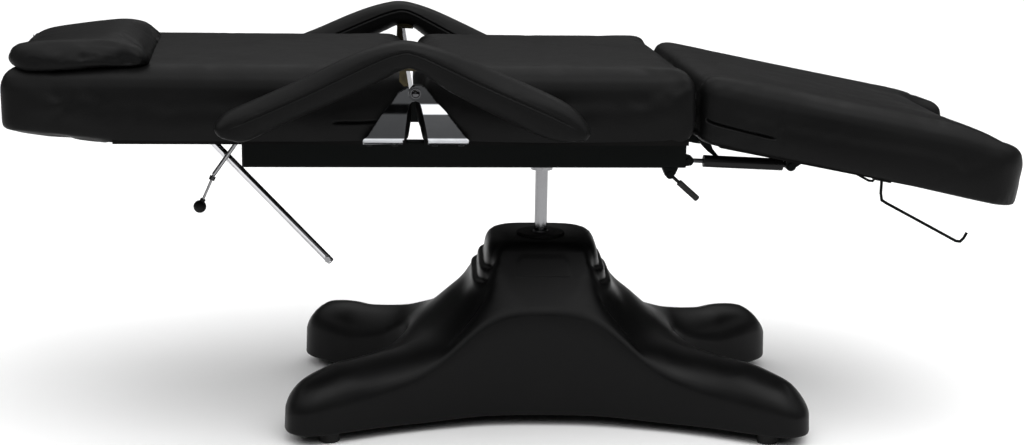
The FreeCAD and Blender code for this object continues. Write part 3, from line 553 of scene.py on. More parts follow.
def paint(name, rgb, rough=(0.34, 0.48), spec=0.4, wear=0.0):
    m, nt, bsdf, vec = tree_of(name)
    peel = noise(nt, vec, 420.0, 3.0)
    broad = noise(nt, vec, 6.0, 5.0, 0.6)
    lo = tuple(0.75 * c for c in rgb)
    hi = tuple(1.35 * c for c in rgb)
    col = ramp(nt, broad, [(0.3, lo), (0.75, hi)])
    if wear:
        g = nt.nodes.new("ShaderNodeNewGeometry")
        edge = ramp(nt, g.outputs["Pointiness"], [(0.54, (0, 0, 0)), (0.60, (wear, wear, wear))])
        sep = nt.nodes.new("ShaderNodeSeparateColor")
        nt.links.new(edge, sep.inputs[0])
        col = mix_colour(nt, sep.outputs[0], col, (0.10, 0.10, 0.10))
    nt.links.new(col, bsdf.inputs["Base Color"])
    nt.links.new(mapped(nt, broad, *rough), bsdf.inputs["Roughness"])
    bsdf.inputs["Specular IOR Level"].default_value = spec
    bump(nt, bsdf, peel, 0.10, 0.0006)
    return m


def chrome(name, rgb=(0.80, 0.80, 0.82), rough=(0.05, 0.13), streak=(30.0, 30.0, 4.0)):
    m, nt, bsdf, vec = tree_of(name)
    haze = noise(nt, vec, 14.0, 6.0, 0.65)
    lines = noise(nt, stretched(nt, vec, streak), 26.0, 5.0, 0.6)
    lo = tuple(0.86 * c for c in rgb)
    nt.links.new(ramp(nt, haze, [(0.3, lo), (0.7, rgb)]), bsdf.inputs["Base Color"])
    bsdf.inputs["Metallic"].default_value = 1.0
    nt.links.new(mapped(nt, math_node(nt, "ADD", math_node(nt, "MULTIPLY", haze, 0.6), math_node(nt, "MULTIPLY", lines, 0.4)), *rough), bsdf.inputs["Roughness"])
    bump(nt, bsdf, lines, 0.02, 0.0004)
    return m


def brushed(name, rgb, tint=None, rough=(0.24, 0.42)):
    m, nt, bsdf, vec = tree_of(name)
    lines = noise(nt, stretched(nt, vec, (260.0, 40.0, 260.0)), 3.0, 6.0, 0.7)
    blot = noise(nt, vec, 38.0, 5.0, 0.6)
    lo = tuple(0.62 * c for c in rgb)
    col = ramp(nt, lines, [(0.25, lo), (0.75, rgb)])
    if tint:
        sep = ramp(nt, blot, [(0.42, (0, 0, 0)), (0.62, (1, 1, 1))])
        s = nt.nodes.new("ShaderNodeSeparateColor")
        nt.links.new(sep, s.inputs[0])
        col = mix_colour(nt, s.outputs[0], col, tint)
    nt.links.new(col, bsdf.inputs["Base Color"])
    bsdf.inputs["Metallic"].default_value = 1.0
    nt.links.new(mapped(nt, blot, *rough), bsdf.inputs["Roughness"])
    bump(nt, bsdf, lines, 0.08, 0.0005)
    return m


def rubber(name):
    m, nt, bsdf, vec = tree_of(name)
    n1 = noise(nt, vec, 260.0, 4.0, 0.65)
    n2 = noise(nt, vec, 18.0, 4.0)
    nt.links.new(ramp(nt, n2, [(0.3, (0.005, 0.005, 0.005)), (0.75, (0.012, 0.0115, 0.011))]), bsdf.inputs["Base Color"])
    nt.links.new(mapped(nt, n1, 0.62, 0.85), bsdf.inputs["Roughness"])
    bsdf.inputs["Specular IOR Level"].default_value = 0.3
    bump(nt, bsdf, n1, 0.25, 0.0008)
    return m


def stained_board_with_painted_shade(name):
    m, nt, bsdf, vec = tree_of(name)
    warp = noise(nt, stretched(nt, vec, (1.0, 9.0, 9.0)), 7.0, 5.0, 0.6, 1.2)
    grain = noise(nt, stretched(nt, vec, (4.0, 120.0, 120.0)), 5.0, 6.0, 0.7)
    f = math_node(nt, "ADD", math_node(nt, "MULTIPLY", warp, 0.65), math_node(nt, "MULTIPLY", grain, 0.35))
    # partly the board's own black stain, partly painted shade: the colour is darker still to stand for the frame's
    # shadow on the board edge
    nt.links.new(ramp(nt, f, [(0.30, (0.0016, 0.0015, 0.0014)), (0.48, (0.0026, 0.0025, 0.0024)), (0.70, (0.0040, 0.0038, 0.0036))]), bsdf.inputs["Base Color"])
    nt.links.new(mapped(nt, grain, 0.55, 0.75), bsdf.inputs["Roughness"])
    bsdf.inputs["Specular IOR Level"].default_value = 0.06
    bump(nt, bsdf, grain, 0.2, 0.0006)
    return m


def thread(name):
    m, nt, bsdf, vec = tree_of(name)
    n1 = noise(nt, vec, 2200.0, 2.0)
    nt.links.new(ramp(nt, n1, [(0.3, (0.004, 0.004, 0.004)), (0.7, (0.011, 0.011, 0.011))]), bsdf.inputs["Base Color"])
    nt.links.new(mapped(nt, n1, 0.6, 0.8), bsdf.inputs["Roughness"])
    bump(nt, bsdf, n1, 0.3, 0.0004)
    return m


MATS = {
    "upholstery": leatherette("leatherette"),
    "black_board": stained_board_with_painted_shade("black_board"),
    "frame_paint": paint("frame_paint", (0.0010, 0.0017, 0.0015), rough=(0.36, 0.5), spec=0.06),
    "chrome": chrome("chrome", (0.66, 0.66, 0.68)),
    "steel": brushed("steel", (0.34, 0.34, 0.35)),
    "yellow_zinc": brushed("yellow_zinc", (0.075, 0.062, 0.034), tint=(0.03, 0.026, 0.017)),
    "base_gloss": gloss_plastic("base_gloss"),
    "rubber": rubber("rubber"),
    "black_plastic": paint("black_plastic", (0.004, 0.004, 0.0042), rough=(0.38, 0.55), spec=0.15),
    "black_enamel": paint("black_enamel", (0.003, 0.003, 0.0032), rough=(0.22, 0.34), spec=0.16),
}
# painted shade: the column gets a darker copy of chrome, standing for the shade under the bed
COLUMN_CHROME_PAINTED_SHADE = chrome("column_chrome_painted_shade", (0.25, 0.25, 0.257), rough=(0.10, 0.2), streak=(60.0, 60.0, 1.5))
ROD_STEEL = brushed("rod_steel", (0.05, 0.05, 0.052))
# painted shade: the posts get a darker copy of chrome, standing for the shade under the armrests
POST_CHROME_PAINTED_SHADE = chrome("post_chrome_painted_shade", (0.42, 0.42, 0.43))
SCREW_STEEL = brushed("screw_steel", (0.02, 0.02, 0.021))
BOLT_STEEL = brushed("bolt_steel", (0.10, 0.10, 0.105), rough=(0.16, 0.28))
for name, ob in NODES.items():
    m = {"column": COLUMN_CHROME_PAINTED_SHADE, "gas_spring_rod": ROD_STEEL, "knob_lever_nut": ROD_STEEL, "arm_post_near": POST_CHROME_PAINTED_SHADE, "arm_post_far": POST_CHROME_PAINTED_SHADE, "hinge_bolts": BOLT_STEEL, "seat_plate_screws": SCREW_STEEL, "backrest_plate_screws": SCREW_STEEL, "column_trim_ring": MATS["rubber"]}.get(name, MATS[SLOT_OF[name]])
    if not ob.material_slots:
        ob.data.materials.append(m)
    for s in ob.material_slots:
        s.material = m


def finish_piece(ob, body, slot, *nodes, mat=None):
    ob.data.materials.clear()
    ob.data.materials.append(mat or MATS[slot])
    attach(ob, body)
    if nodes:
        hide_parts(*nodes)
    return ob


# ------------------------------------------------------------------ backrest, seat and leg rest cushions
VOXEL = 0.0065


def cushion(name, verts, faces, cap, pin_z, pressure=4.0, keep_x=None, frames=18):
    ob = new_obj(name, mm(verts), faces)
    remesh(ob, VOXEL)
    relax(ob, 6)
    co = coords(ob)
    pin = np.clip((pin_z - co[:, 2] * 1000.0) / 6.0, 0, 1)
    stuff(ob, pin, cap / 1000.0, pressure, frames)
    if keep_x:
        co = coords(ob)
        lo, hi = (v / 1000.0 + SHIFT[0] for v in keep_x)
        # the ends stay behind the gaps between the sections
        co[:, 0] = np.where(co[:, 0] < lo, lo + 0.0, co[:, 0])
        co[:, 0] = np.where(co[:, 0] > hi, hi + 0.0, co[:, 0])
        set_coords(ob, co)
    relax(ob, 3)
    return ob


def crowned(base, rise, reach=150.0):
    return lambda x, y, d: base + rise * (1 - np.exp(-(d / reach) ** 1.4))


def end_bulge(z):
    """Hinge ends: fullest a little below mid height, drawn in at the bottom."""
    return 12.0 * step01(z, 556.0, 606.0) * (1 - step01(z, 636.0, 655.0)) - 1.0 * (1 - step01(z, 553.0, 570.0))


# backrest: the underside rises towards the head
outline = round_poly([(-954.0, -HALF_W), (-259.0, -HALF_W), (-259.0, HALF_W), (-954.0, HALF_W)], [30, 12, 12, 30])


def back_bottom(x, y, d):
    return 557.3 + 20.0 * np.clip((-x - 752.0) / 185.0, 0, 1) ** 1.15


v, f = slab("backrest", outline, crowned(680.5, 6.5), back_bottom, 31.0, 5.0, ends=((-259.0, 1, 18.0),))
v[:, 0] += end_bulge(v[:, 2]) * step01(v[:, 0], -330, -266)
backrest = cushion("backrest_pad", v, f, 6.0, 560.0, keep_x=(-950.0, -250.4))

outline = round_poly([(-238.0, -HALF_W), (240.5, -HALF_W), (240.5, HALF_W), (-238.0, HALF_W)], [12, 12, 28, 12])


def seat_bottom(x, y, d):
    return 557.3 + 17.0 * step01(x, 214, 241) ** 2


v, f = slab("seat", outline, crowned(680.5, 6.5), seat_bottom, 31.0, 5.0, ends=((-238.0, -1, 17.0), (240.5, 1, 22.0)))
v[:, 0] -= end_bulge(v[:, 2]) * (1 - step01(v[:, 0], -231, -167))
seat = cushion("seat_pad", v, f, 6.0, 560.0, keep_x=(-246.8, 243.0))

# leg rest: drawn level, bevelled at the hinge end, scooped between two lobes at the foot end, then tilted
half = [(238.0, -HALF_W), (756.0, -HALF_W)]
half += [(778 + 71 * math.sin(math.radians(q)), -230 - 71 * math.cos(math.radians(q))) for q in range(5, 92, 9)]
half += [(845, -212), (834, -201), (811, -195), (790, -184), (774, -165), (765, -135), (761, -90), (760, -40), (760, 0)]
whole = half + [(x, -y) for x, y in reversed(half[:-1])]
outline = round_poly(whole, [34] + [0] * (len(whole) - 2) + [34])
v, f = slab("legrest", outline, lambda x, y, d: crowned(672.5, 5.0, 120.0)(x, y, d) - (8.0 - 5.0 * np.tanh(y / 100.0)) * step01(x, 690, 836), lambda x, y, d: 559.2 - 5.0 * step01(x, 560, 800), 30.0, 5.0)
v[:, 0] -= 0.190 * (v[:, 2] - 566.0) * (1 - step01(v[:, 0], 238, 420)) - 4.0 * (1 - step01(v[:, 0], 238, 330))
legrest = new_obj("legrest_pad", mm(v), f)
remesh(legrest, VOXEL)
relax(legrest, 6)
co = coords(legrest)
stuff(legrest, np.clip((562.0 - co[:, 2] * 1000.0) / 6.0, 0, 1), 0.005, 4.0)
relax(legrest, 3)


def leg_level(x, y, z):
    """From the leg rest drawn level to its tilted place, in the shared frame."""
    x, y, z = (np.asarray(q, float) for q in (x, y, z))
    dx, dz = x - LEG_PIVOT[0], z - LEG_PIVOT[1]
    c, s = math.cos(LEG_TILT), math.sin(LEG_TILT)
    return np.stack([(LEG_PIVOT[0] + dx * c + dz * s) / 1000.0 + SHIFT[0], y / 1000.0 + 0 * dx, (LEG_PIVOT[1] - dx * s + dz * c) / 1000.0], -1)


co = (coords(legrest) - SHIFT) * 1000.0
set_coords(legrest, leg_level(co[:, 0], co[:, 1], co[:, 2]))
co = coords(legrest)
edge = (250.0 / 1000.0) + SHIFT[0]
co[:, 0] = np.maximum(co[:, 0], edge)
set_coords(legrest, co)

# slits in the cover beside the hinges, and the fold that ends the slit of the leg rest
for side in (-1, 1):
    sew(legrest, leg_level([238, 262, 300, 340, 376], [side * 302] * 5, [600.3, 599.0, 597.2, 595.4, 594.2]), 0.0065, 0.0019, 0.0006, fade=(None, 0.012))
    sew(legrest, leg_level([372, 378, 386, 392], [side * 302] * 4, [655, 628, 598, 572]), 0.0016, 0.0050, 0.0006, fade=(0.03, 0.02), radii=(0.016, 0.010))
    sew(backrest, mm([(-262, side * 302, 597.4), (-300, side * 302, 597.3), (-350, side * 302, 596.2), (-391, side * 302, 595.8)]), 0.0065, 0.0019, 0.0006, fade=(None, 0.012))

for ob, body, node in ((backrest, "backrest", "backrest_cushion"), (seat, "bed", "seat_cushion"), (legrest, "legrest", "legrest_cushion")):
    finish_piece(ob, body, "upholstery", node)


# ------------------------------------------------------------------ wedge pillow, lying a little askew
PIL_C, PIL_TURN = (-836.0, -45.0), math.radians(4.6)
outline = round_poly([(-119.0, -243.0), (122.0, -243.0), (122.0, 243.0), (-119.0, 243.0)], [46, 34, 44, 46])


def pillow_top(u, w, d):
    t = np.interp(u, [-118, -90, -56, 0, 45, 72, 90, 104, 118], [19, 25, 30, 37, 42, 43, 41, 36, 29])
    roll = np.interp(u, [-118, 50, 80, 118], [39, 39, 37, 30])
    k = step01(-w, 120, 225)
    return 684.0 + t * (1 - k) + np.maximum(t * 0.80, roll) * k - 9.0 * step01(w, 60, 243)


def pillow_bottom(u, w, d):
    return 684.6 - 10.0 * step01(-w, 205, 243) * (1 - step01(u, -60, 70))


v, f = slab("pillow", outline, pillow_top, pillow_bottom, 23.0, 14.0, grid=6.0)
c, sn = math.cos(PIL_TURN), math.sin(PIL_TURN)
v = np.c_[PIL_C[0] + v[:, 0] * c - v[:, 1] * sn, PIL_C[1] + v[:, 0] * sn + v[:, 1] * c, v[:, 2]]
pillow = new_obj("pillow_pad", mm(v), f)
remesh(pillow, 0.0055)
relax(pillow, 5)
co = coords(pillow)
stuff(pillow, np.clip((690.0 - co[:, 2] * 1000.0) / 5.0, 0, 1), 0.006, 4.5, 20, bend=0.25)
relax(pillow, 2)
subdivide(pillow)
for pts, depth, width in (
    ([(-752, -292, 703), (-738, -293, 697), (-720, -292, 690), (-704, -284, 685)], 0.0042, 0.0070),
    ([(-772, -292, 697), (-752, -293, 692), (-730, -292, 687)], 0.0024, 0.0060),
    ([(-812, -291, 716), (-806, -293, 703), (-800, -292, 690)], 0.0026, 0.0090),
    ([(-850, -291, 712), (-842, -293, 700), (-838, -292, 688)], 0.0022, 0.0085),
    ([(-893, -291, 706), (-888, -293, 696), (-884, -291, 684)], 0.0022, 0.0080),
):
    sew(pillow, mm(pts), depth, width, depth * 0.25, fade=(0.012, 0.012), radii=())
finish_piece(pillow, "backrest", "upholstery", "pillow")


# ------------------------------------------------------------------ padded armrests
ARM_LOW = [(-566, 579), (-537, 573.5), (-503, 590), (-469, 606), (-427, 625), (-385, 643.5), (-343, 663), (-302, 683.5), (-281, 695), (-260, 700), (-238, 692), (-201, 667), (-151, 639), (-108, 618), (-66, 597), (-30, 581), (2, 574.5), (24, 577)]
ARM_TOP = [(-579, 604), (-563, 618), (-524, 634), (-480, 653), (-435, 673.5), (-400, 691), (-368, 707), (-330, 724), (-293, 736), (-268, 739.5), (-240, 735.5), (-201, 724), (-150, 703), (-101, 682), (-50, 661), (0.7, 638), (28, 617), (43, 596)]
ARM_MID_Y, ARM_HALF = -355.6, 36.2


def arm_shape():
    lo, hi = spline_open(ARM_LOW, 6), spline_open(ARM_TOP, 6)
    # rounded tips: the section shrinks towards a nose at each end
    n = len(lo)
    sides = 36
    verts, faces = [], []
    caps = [(0.0, 0.30), (0.25, 0.62), (0.55, 0.84), (0.8, 0.95)]

    def ring(c, half, up, scale):
        for k in range(sides):
            a = 2 * math.pi * k / sides
            ca, sa = math.cos(a), math.sin(a)
            p = 3.4 if sa > 0 else 4.2
            r = (abs(ca) ** p + abs(sa) ** p) ** (-1.0 / p)
            y = ARM_MID_Y + ARM_HALF * r * ca * (0.55 + 0.45 * scale)
            w = half * r * sa * scale
            if sa > 0:
                w += 2.5 * (1 - (r * ca) ** 2) * scale
            verts.append((c[0] + up[0] * w, y, c[1] + up[1] * w))

    rings = 0
    for i in range(n):
        c = (lo[i] + hi[i]) / 2
        u = hi[i] - lo[i]
        half = np.linalg.norm(u) / 2
        u = u / (2 * half)
        if i == 0:
            t = (lo[1] + hi[1]) / 2 - c
            t = t / np.linalg.norm(t)
            for back, sc in caps:
                ring(c - t * 9.0 * (1 - back), half, u, sc)
                rings += 1
        ring(c, half, u, 1.0)
        rings += 1
        if i == n - 1:
            t = c - (lo[-2] + hi[-2]) / 2
            t = t / np.linalg.norm(t)
            for back, sc in reversed(caps):
                ring(c + t * 9.0 * (1 - back), half, u, sc)
                rings += 1
    for i in range(rings - 1):
        for k in range(sides):
            q = (k + 1) % sides
            faces.append((i * sides + k, i * sides + q, (i + 1) * sides + q, (i + 1) * sides + k))
    faces.append(tuple(range(sides))[::-1])
    faces.append(tuple((rings - 1) * sides + k for k in range(sides)))
    seam = lo + 0.64 * (hi - lo)
    return np.array(verts), faces, seam


v, f, seam = arm_shape()
arm = new_obj("arm_pad_visual_near", mm(v), f)
bm = bmesh.new()
bm.from_mesh(arm.data)
bmesh.ops.recalc_face_normals(bm, faces=bm.faces)
bm.to_mesh(arm.data)
bm.free()
remesh(arm, 0.005)
relax(arm, 8)
co = coords(arm)
stuff(arm, np.zeros(len(co)), 0.0035, 4.0, 14)
co = coords(arm)
co[:, 1] = np.clip(co[:, 1], -0.3945, -0.3178)
set_coords(arm, co)
relax(arm, 3)
for y in (-400.0, -311.0):
    sew(arm, mm([(x, y, z) for x, z in seam[4:-4]]), 0.0017, 0.0014, 0.0004, fade=(0.03, 0.03))


def mirrored(ob, name):
    me = ob.data.copy()
    other = bpy.data.objects.new(name, me)
    scene.collection.objects.link(other)
    co = coords(other)
    co[:, 1] *= -1
    set_coords(other, co)
    bm = bmesh.new()
    bm.from_mesh(me)
    bmesh.ops.reverse_faces(bm, faces=bm.faces)
    bm.to_mesh(me)
    bm.free()
    smooth(other)
    return other


arm_far = mirrored(arm, "arm_pad_visual_far")
# the far armrest is tilted a little further about its hinge
co = coords(arm_far)
hinge = mm((-248.6, 0.0, 648.6))
turn = math.radians(2.5)
dx, dz = co[:, 0] - hinge[0], co[:, 2] - hinge[2]
co[:, 0] = hinge[0] + dx * math.cos(turn) + dz * math.sin(turn)
co[:, 2] = hinge[2] - dx * math.sin(turn) + dz * math.cos(turn)
set_coords(arm_far, co)
for ob, side in ((arm, "near"), (arm_far, "far")):
    finish_piece(ob, "arm_" + side, "upholstery", "arm_pad_" + side, "arm_base_" + side)


# ------------------------------------------------------------------ bent sheet hinge plates
def plate_steel(name, stops):
    """Polished sheet with painted reflections and painted shade: the colour changes by height at the bends, which face
    the room at different angles.
    """
    m, nt, bsdf, vec = tree_of(name)
    sp = nt.nodes.new("ShaderNodeSeparateXYZ")
    nt.links.new(vec, sp.inputs[0])
    # painted light: light and dark bands set by height stand in for how each bent face catches the light
    tone = ramp(nt, mapped(nt, sp.outputs["Z"], 0.0, 1.0, 0.550, 0.670), stops)
    haze = noise(nt, vec, 22.0, 5.0, 0.6)
    lines = noise(nt, stretched(nt, vec, (9.0, 60.0, 160.0)), 6.0, 5.0, 0.65)
    shade = ramp(nt, math_node(nt, "ADD", math_node(nt, "MULTIPLY", haze, 0.6), math_node(nt, "MULTIPLY", lines, 0.4)), [(0.3, (0.78, 0.78, 0.79)), (0.7, (1.1, 1.1, 1.1))])
    mul = nt.nodes.new("ShaderNodeMix")
    mul.data_type = "RGBA"
    mul.blend_type = "MULTIPLY"
    mul.inputs[0].default_value = 1.0
    nt.links.new(tone, mul.inputs[6])
    nt.links.new(shade, mul.inputs[7])
    nt.links.new(mul.outputs[2], bsdf.inputs["Base Color"])
    bsdf.inputs["Metallic"].default_value = 1.0
    nt.links.new(mapped(nt, haze, 0.12, 0.24), bsdf.inputs["Roughness"])
    bump(nt, bsdf, lines, 0.03, 0.0004)
    return m


def zt(z):
    return (z - 550.0) / 120.0


def grey(v, cool=1.06):
    return (v, v * (1 + 0.4 * (cool - 1)), v * cool)


# painted light: the bright flange and band strips are painted reflections, the dark panels and hinge disc are painted
# shade
SEAT_PLATE_PAINTED_LIGHT = plate_steel("seat_plate_painted_light", [(zt(556), grey(0.80)), (zt(569), grey(0.80)), (zt(571), grey(0.06)), (zt(611), grey(0.075)), (zt(613), grey(0.82)), (zt(629), grey(0.80)), (zt(631.5), grey(0.035)), (zt(664), grey(0.05))])
BACK_PLATE_PAINTED_LIGHT = plate_steel("backrest_plate_painted_light", [(zt(556), grey(0.76)), (zt(568.5), grey(0.76)), (zt(570.5), grey(0.045)), (zt(611), grey(0.055)), (zt(613), grey(0.018)), (zt(629), grey(0.024)), (zt(631.5), grey(0.055)), (zt(664), grey(0.07))])
PIVOT = (-248.6, 648.6)
SEAT_OUT = [(21.8, -82.5), (18.2, -62.0), (11.5, -31.0), (8.7, -19.5), (5.5, -15.0), (0.0, -13.2), (-6.0, -11.6), (-10.4, -7.0), (-12.0, 0.0), (-10.6, 6.6), (-6.4, 12.4), (0.0, 15.6), (7.0, 15.9), (13.5, 12.9), (19.4, 8.2), (38.3, -16.9), (53.5, -33.5), (87.6, -76.9), (92.5, -82.5)]
BACK_OUT = [(-89.5, -82.5), (-80.9, -73.0), (-56.4, -34.3), (-39.4, -15.0), (-29.8, 0.5), (-9.9, 12.0), (-4.0, 14.0), (4.0, 13.6), (10.4, 9.6), (13.8, 3.0), (13.4, -5.0), (8.6, -11.4), (0.0, -14.6), (-7.0, -16.4), (-9.9, -20.0), (-13.8, -34.3), (-18.4, -73.0), (-19.4, -82.5)]


def bent_plate(outline, disc_y, panel_y, flange):
    """Sheet of one side, upright, with a joggle below the hinge eye and a turned-in lower edge."""
    ring = resample(np.array(outline, float), 2.2)
    lo, hi = ring.min(0), ring.max(0)
    zs = np.concatenate([np.arange(lo[1], -38.0, 3.0), np.arange(-38.0, -14.0, 1.5), np.arange(-14.0, hi[1], 3.0)])
    gx, gz = np.meshgrid(np.arange(lo[0], hi[0], 3.0), zs)
    pts = np.stack([gx.ravel(), gz.ravel()], 1)
    pts = pts[inside(ring, pts)]
    pts = pts[edge_distance(ring, pts) > 1.2]
    both = np.vstack([ring, pts])
    n = len(ring)
    res = delaunay_2d_cdt([Vector(p) for p in both], [(i, (i + 1) % n) for i in range(n)], [], 1, 1e-5)
    p2 = np.array([tuple(v) for v in res[0]])
    z = p2[:, 1] + PIVOT[1]
    y = panel_y + (disc_y - panel_y) * step01(z, 612.0, 630.5)
    # lower edge rolls in towards the board
    low = np.clip((570.5 - z) / 4.5, 0, 1)
    y = y - 3.2 * low ** 2
    x = p2[:, 0] + PIVOT[0]
    verts = [(a, b, c) for a, b, c in zip(x, y, z)]
    faces = [tuple(f) for f in res[2]]
    # turned-in strip and flange under the board
    edge = [i for i in range(len(p2)) if p2[i, 1] < lo[1] + 0.05]
    edge.sort(key=lambda i: p2[i, 0])
    prev = edge
    y_end = float(np.mean(y[edge]))
    for dy, zz in ((-3.2, 562.2), (-6.8, 558.6), (-11.0, 556.4), (-16.0, 555.4), (flange - y_end, 555.3)):
        row = []
        for i in edge:
            row.append(len(verts))
            verts.append((x[i], y_end + dy, zz))
        for k in range(len(edge) - 1):
            faces.append((prev[k], prev[k + 1], row[k + 1], row[k]))
        prev = row
    return np.array(verts), faces


def plate_pair(name, outline, disc_y, panel_y, mat, body, node):
    v, f = bent_plate(outline, disc_y, panel_y, 262.0)
    n = len(v)
    both = np.vstack([np.c_[v[:, 0], -v[:, 1], v[:, 2]], v])
    faces = list(f) + [tuple(i + n for i in reversed(q)) for q in f]
    ob = new_obj(name, mm(both), faces)
    bm = bmesh.new()
    bm.from_mesh(ob.data)
    bmesh.ops.remove_doubles(bm, verts=bm.verts, dist=1e-6)
    # every face of a side looks outwards and down before the sheet is thickened
    out = [q for q in bm.faces if q.normal.y * q.calc_center_median().y < -1e-9 or (abs(q.normal.y) < 1e-3 and q.normal.z > 0)]
    bmesh.ops.reverse_faces(bm, faces=out)
    bm.to_mesh(ob.data)
    bm.free()
    m = ob.modifiers.new("sheet", "SOLIDIFY")
    m.thickness = 0.0028
    m.offset = -1.0
    m.use_even_offset = False
    b = ob.modifiers.new("edge", "BEVEL")
    b.width = 0.0005
    b.segments = 2
    b.limit_method = "ANGLE"
    b.angle_limit = math.radians(50)
    bake_mods(ob)
    finish_piece(ob, body, "chrome", node, mat=mat)
    return ob


plate_pair("seat_plates", SEAT_OUT, 316.8, 311.5, SEAT_PLATE_PAINTED_LIGHT, "bed", "seat_hinge_plates")
plate_pair("backrest_plates", BACK_OUT, 308.6, 311.0, BACK_PLATE_PAINTED_LIGHT, "backrest", "backrest_hinge_plates")


# ------------------------------------------------------------------ moulded base cover
def table(xs, ys, spread=10.0):
    """Smooth curve through a few heights."""
    grid = np.arange(0.0, 640.0, 1.0)
    y = np.interp(grid, xs, ys)
    k = np.exp(-0.5 * (np.arange(-40, 41) / spread) ** 2)
    k /= k.sum()
    y = np.convolve(np.pad(y, 40, mode="edge"), k, mode="valid")
    return lambda r: np.interp(r, grid, y)


EDGE_Z = table([0, 150, 165, 177, 188, 200, 226, 250, 274, 300, 323, 369, 400, 443, 487, 515, 545], [228, 226, 222, 215, 207, 195, 171, 151, 135, 116, 104, 91, 85, 79, 74, 70, 60])
CROWN = table([0, 200, 229, 274, 323, 369, 420, 443, 459, 487, 508, 530, 545], [0, 0, 3, 21, 43, 51, 54, 51, 47, 43, 40, 31, 20])
quad = [(0, -177), (60, -178.5), (110, -184), (160, -194.5), (215, -209), (260, -224), (300, -240), (350, -263), (390, -281), (421, -291), (446, -289), (467, -274), (477, -247), (476, -220), (463, -194), (437, -168), (400, -140), (350, -106), (305, -74), (270, -40)]
ring_pts = quad + [(258, 0)] + [(x, -y) for x, y in reversed(quad[1:])] + [(0, 177)] + [(-x, -y) for x, y in quad[1:]] + [(-258, 0)] + [(-x, y) for x, y in reversed(quad[1:])]
OUT = resample(spline_closed(ring_pts, 10), 7.0)
OUT[:, 0] += 8.0 * step01(np.hypot(OUT[:, 0], OUT[:, 1]), 180, 330)
OUT[:, 0] *= 1.004
nxt, prv = np.roll(OUT, -1, 0), np.roll(OUT, 1, 0)
tang = (nxt - prv) / np.linalg.norm(nxt - prv, axis=1)[:, None]
OUT_N = np.stack([tang[:, 1], -tang[:, 0]], 1)        # points outwards for a counter-clockwise outline
N = len(OUT)
theta = np.arctan2(OUT[:, 1], OUT[:, 0])
arc = np.concatenate([[0], np.cumsum(np.linalg.norm(np.diff(np.vstack([OUT, OUT[:1]]), axis=0), axis=1))])
phi_even = -math.pi / 2 + 2 * math.pi * arc[:-1] / arc[-1]
gap = (phi_even - theta + math.pi) % (2 * math.pi) - math.pi
PHI = theta + 0.5 * gap


def squircle(a, p):
    c, s = np.cos(PHI), np.sin(PHI)
    r = a / (np.abs(c) ** p + np.abs(s) ** p) ** (1.0 / p)
    return np.stack([r * c, r * s], 1)


def tower_gap(p):
    q = np.abs(p) - (134.0 - 45.0)
    return np.hypot(*np.maximum(q, 0).T) + np.minimum(q.max(1), 0) - 45.0


SLOPE = 97.5 / 70.4


def front_share(x, y):
    """1 over the middle of the front and back, fading to 0 at the corners of the tower; wider and softer lower down."""
    s = step01(np.abs(y), 134.0, 178.0)
    lo, hi = 80.0 - 60.0 * s, 118.0 + 92.0 * s
    t = np.clip((np.abs(x) - lo) / (hi - lo), 0, 1)
    return (1 - t * t * (3 - 2 * t)) * step01(np.abs(y) - np.abs(x), -8.0, 26.0)


def cover_z(p):
    r = np.hypot(p[:, 0], p[:, 1])
    d = edge_distance(OUT, p)
    soft = step01(r, 330, 470)
    back = step01(r, 390, 490) * step01(p[:, 1], 40, 150)
    z = EDGE_Z(r) + 14.0 * back + CROWN(r) * (1 - np.exp(-d / (32.0 - 13.0 * soft))) - 7.0 * np.exp(-d / 2.6)
    z = z + 28.0 * np.exp(-np.maximum(tower_gap(p), 0) / 14.0)
    slope = 221.0 + (176.0 - np.abs(p[:, 1])) * SLOPE - 7.0 * np.exp(-d / 2.6)
    return z + front_share(p[:, 0], p[:, 1]) * 6.0 * np.log1p(np.exp(np.clip((slope - z) / 6.0, -40, 40)))


rad = np.hypot(OUT[:, 0], OUT[:, 1])
z_low = 18.0 + 5.0 * (1 - step01(rad, 200, 330)) + 2.5 * step01(rad, 240, 420)
z_rim = EDGE_Z(rad) - 7.0 + 14.0 * step01(rad, 390, 490) * step01(OUT[:, 1], 40, 150)
rings = []
for off, dz in ((0.0, 0.0), (2.0, 0.6), (2.6, 3.0), (2.4, 7.0)):
    rings.append(np.c_[OUT + OUT_N * (off - 1.0), z_low + dz])
for t in (0.15, 0.32, 0.5, 0.68, 0.84):
    rings.append(np.c_[OUT + OUT_N * (1.3 * (1 - t)), z_low + 7 + (z_rim - z_low - 7) * t])
FOOT = squircle(134.0, 5.5)
for d in (0.0, 0.9, 2.2, 4.2, 7.0):
    p = OUT - OUT_N * d
    rings.append(np.c_[p, cover_z(p)])
inner_start = OUT - OUT_N * 7.0
for k in range(1, 35):
    t = (k / 34.0) ** 1.15
    p = inner_start * (1 - t) + FOOT * t
    rings.append(np.c_[p, cover_z(p)])


def tower_ring(p, z):
    """One ring of the tower: a smooth sloping front and back with a low raised panel, stepped corners and sides."""
    k = front_share(p[:, 0], p[:, 1])
    foot = 221.0 + (176.0 - 134.0) * SLOPE
    z_front = foot + (z - 258.0) * (318.5 - foot) / 60.5 if z < 318.5 else z
    y_front = np.maximum(176.0 - (z_front - 221.0) / SLOPE, np.abs(p[:, 1])) if z >= 318.5 else 176.0 - (z_front - 221.0) / SLOPE
    top = np.clip((z_front - 298.0) / 14.0, 0, 1)
    hw = 49.0 - 14.0 * (1 - np.sqrt(max(1 - top ** 2, 0)))
    pan = (1 - step01(np.abs(p[:, 0]), hw - 3.0, hw + 3.0)) * (1.0 if z_front < 312.0 else 0.0)
    y = np.abs(p[:, 1]) * (1 - k) + (y_front + 1.2 * pan) * k
    return np.c_[p[:, 0], np.sign(p[:, 1]) * y, z * (1 - k) + z_front * k]


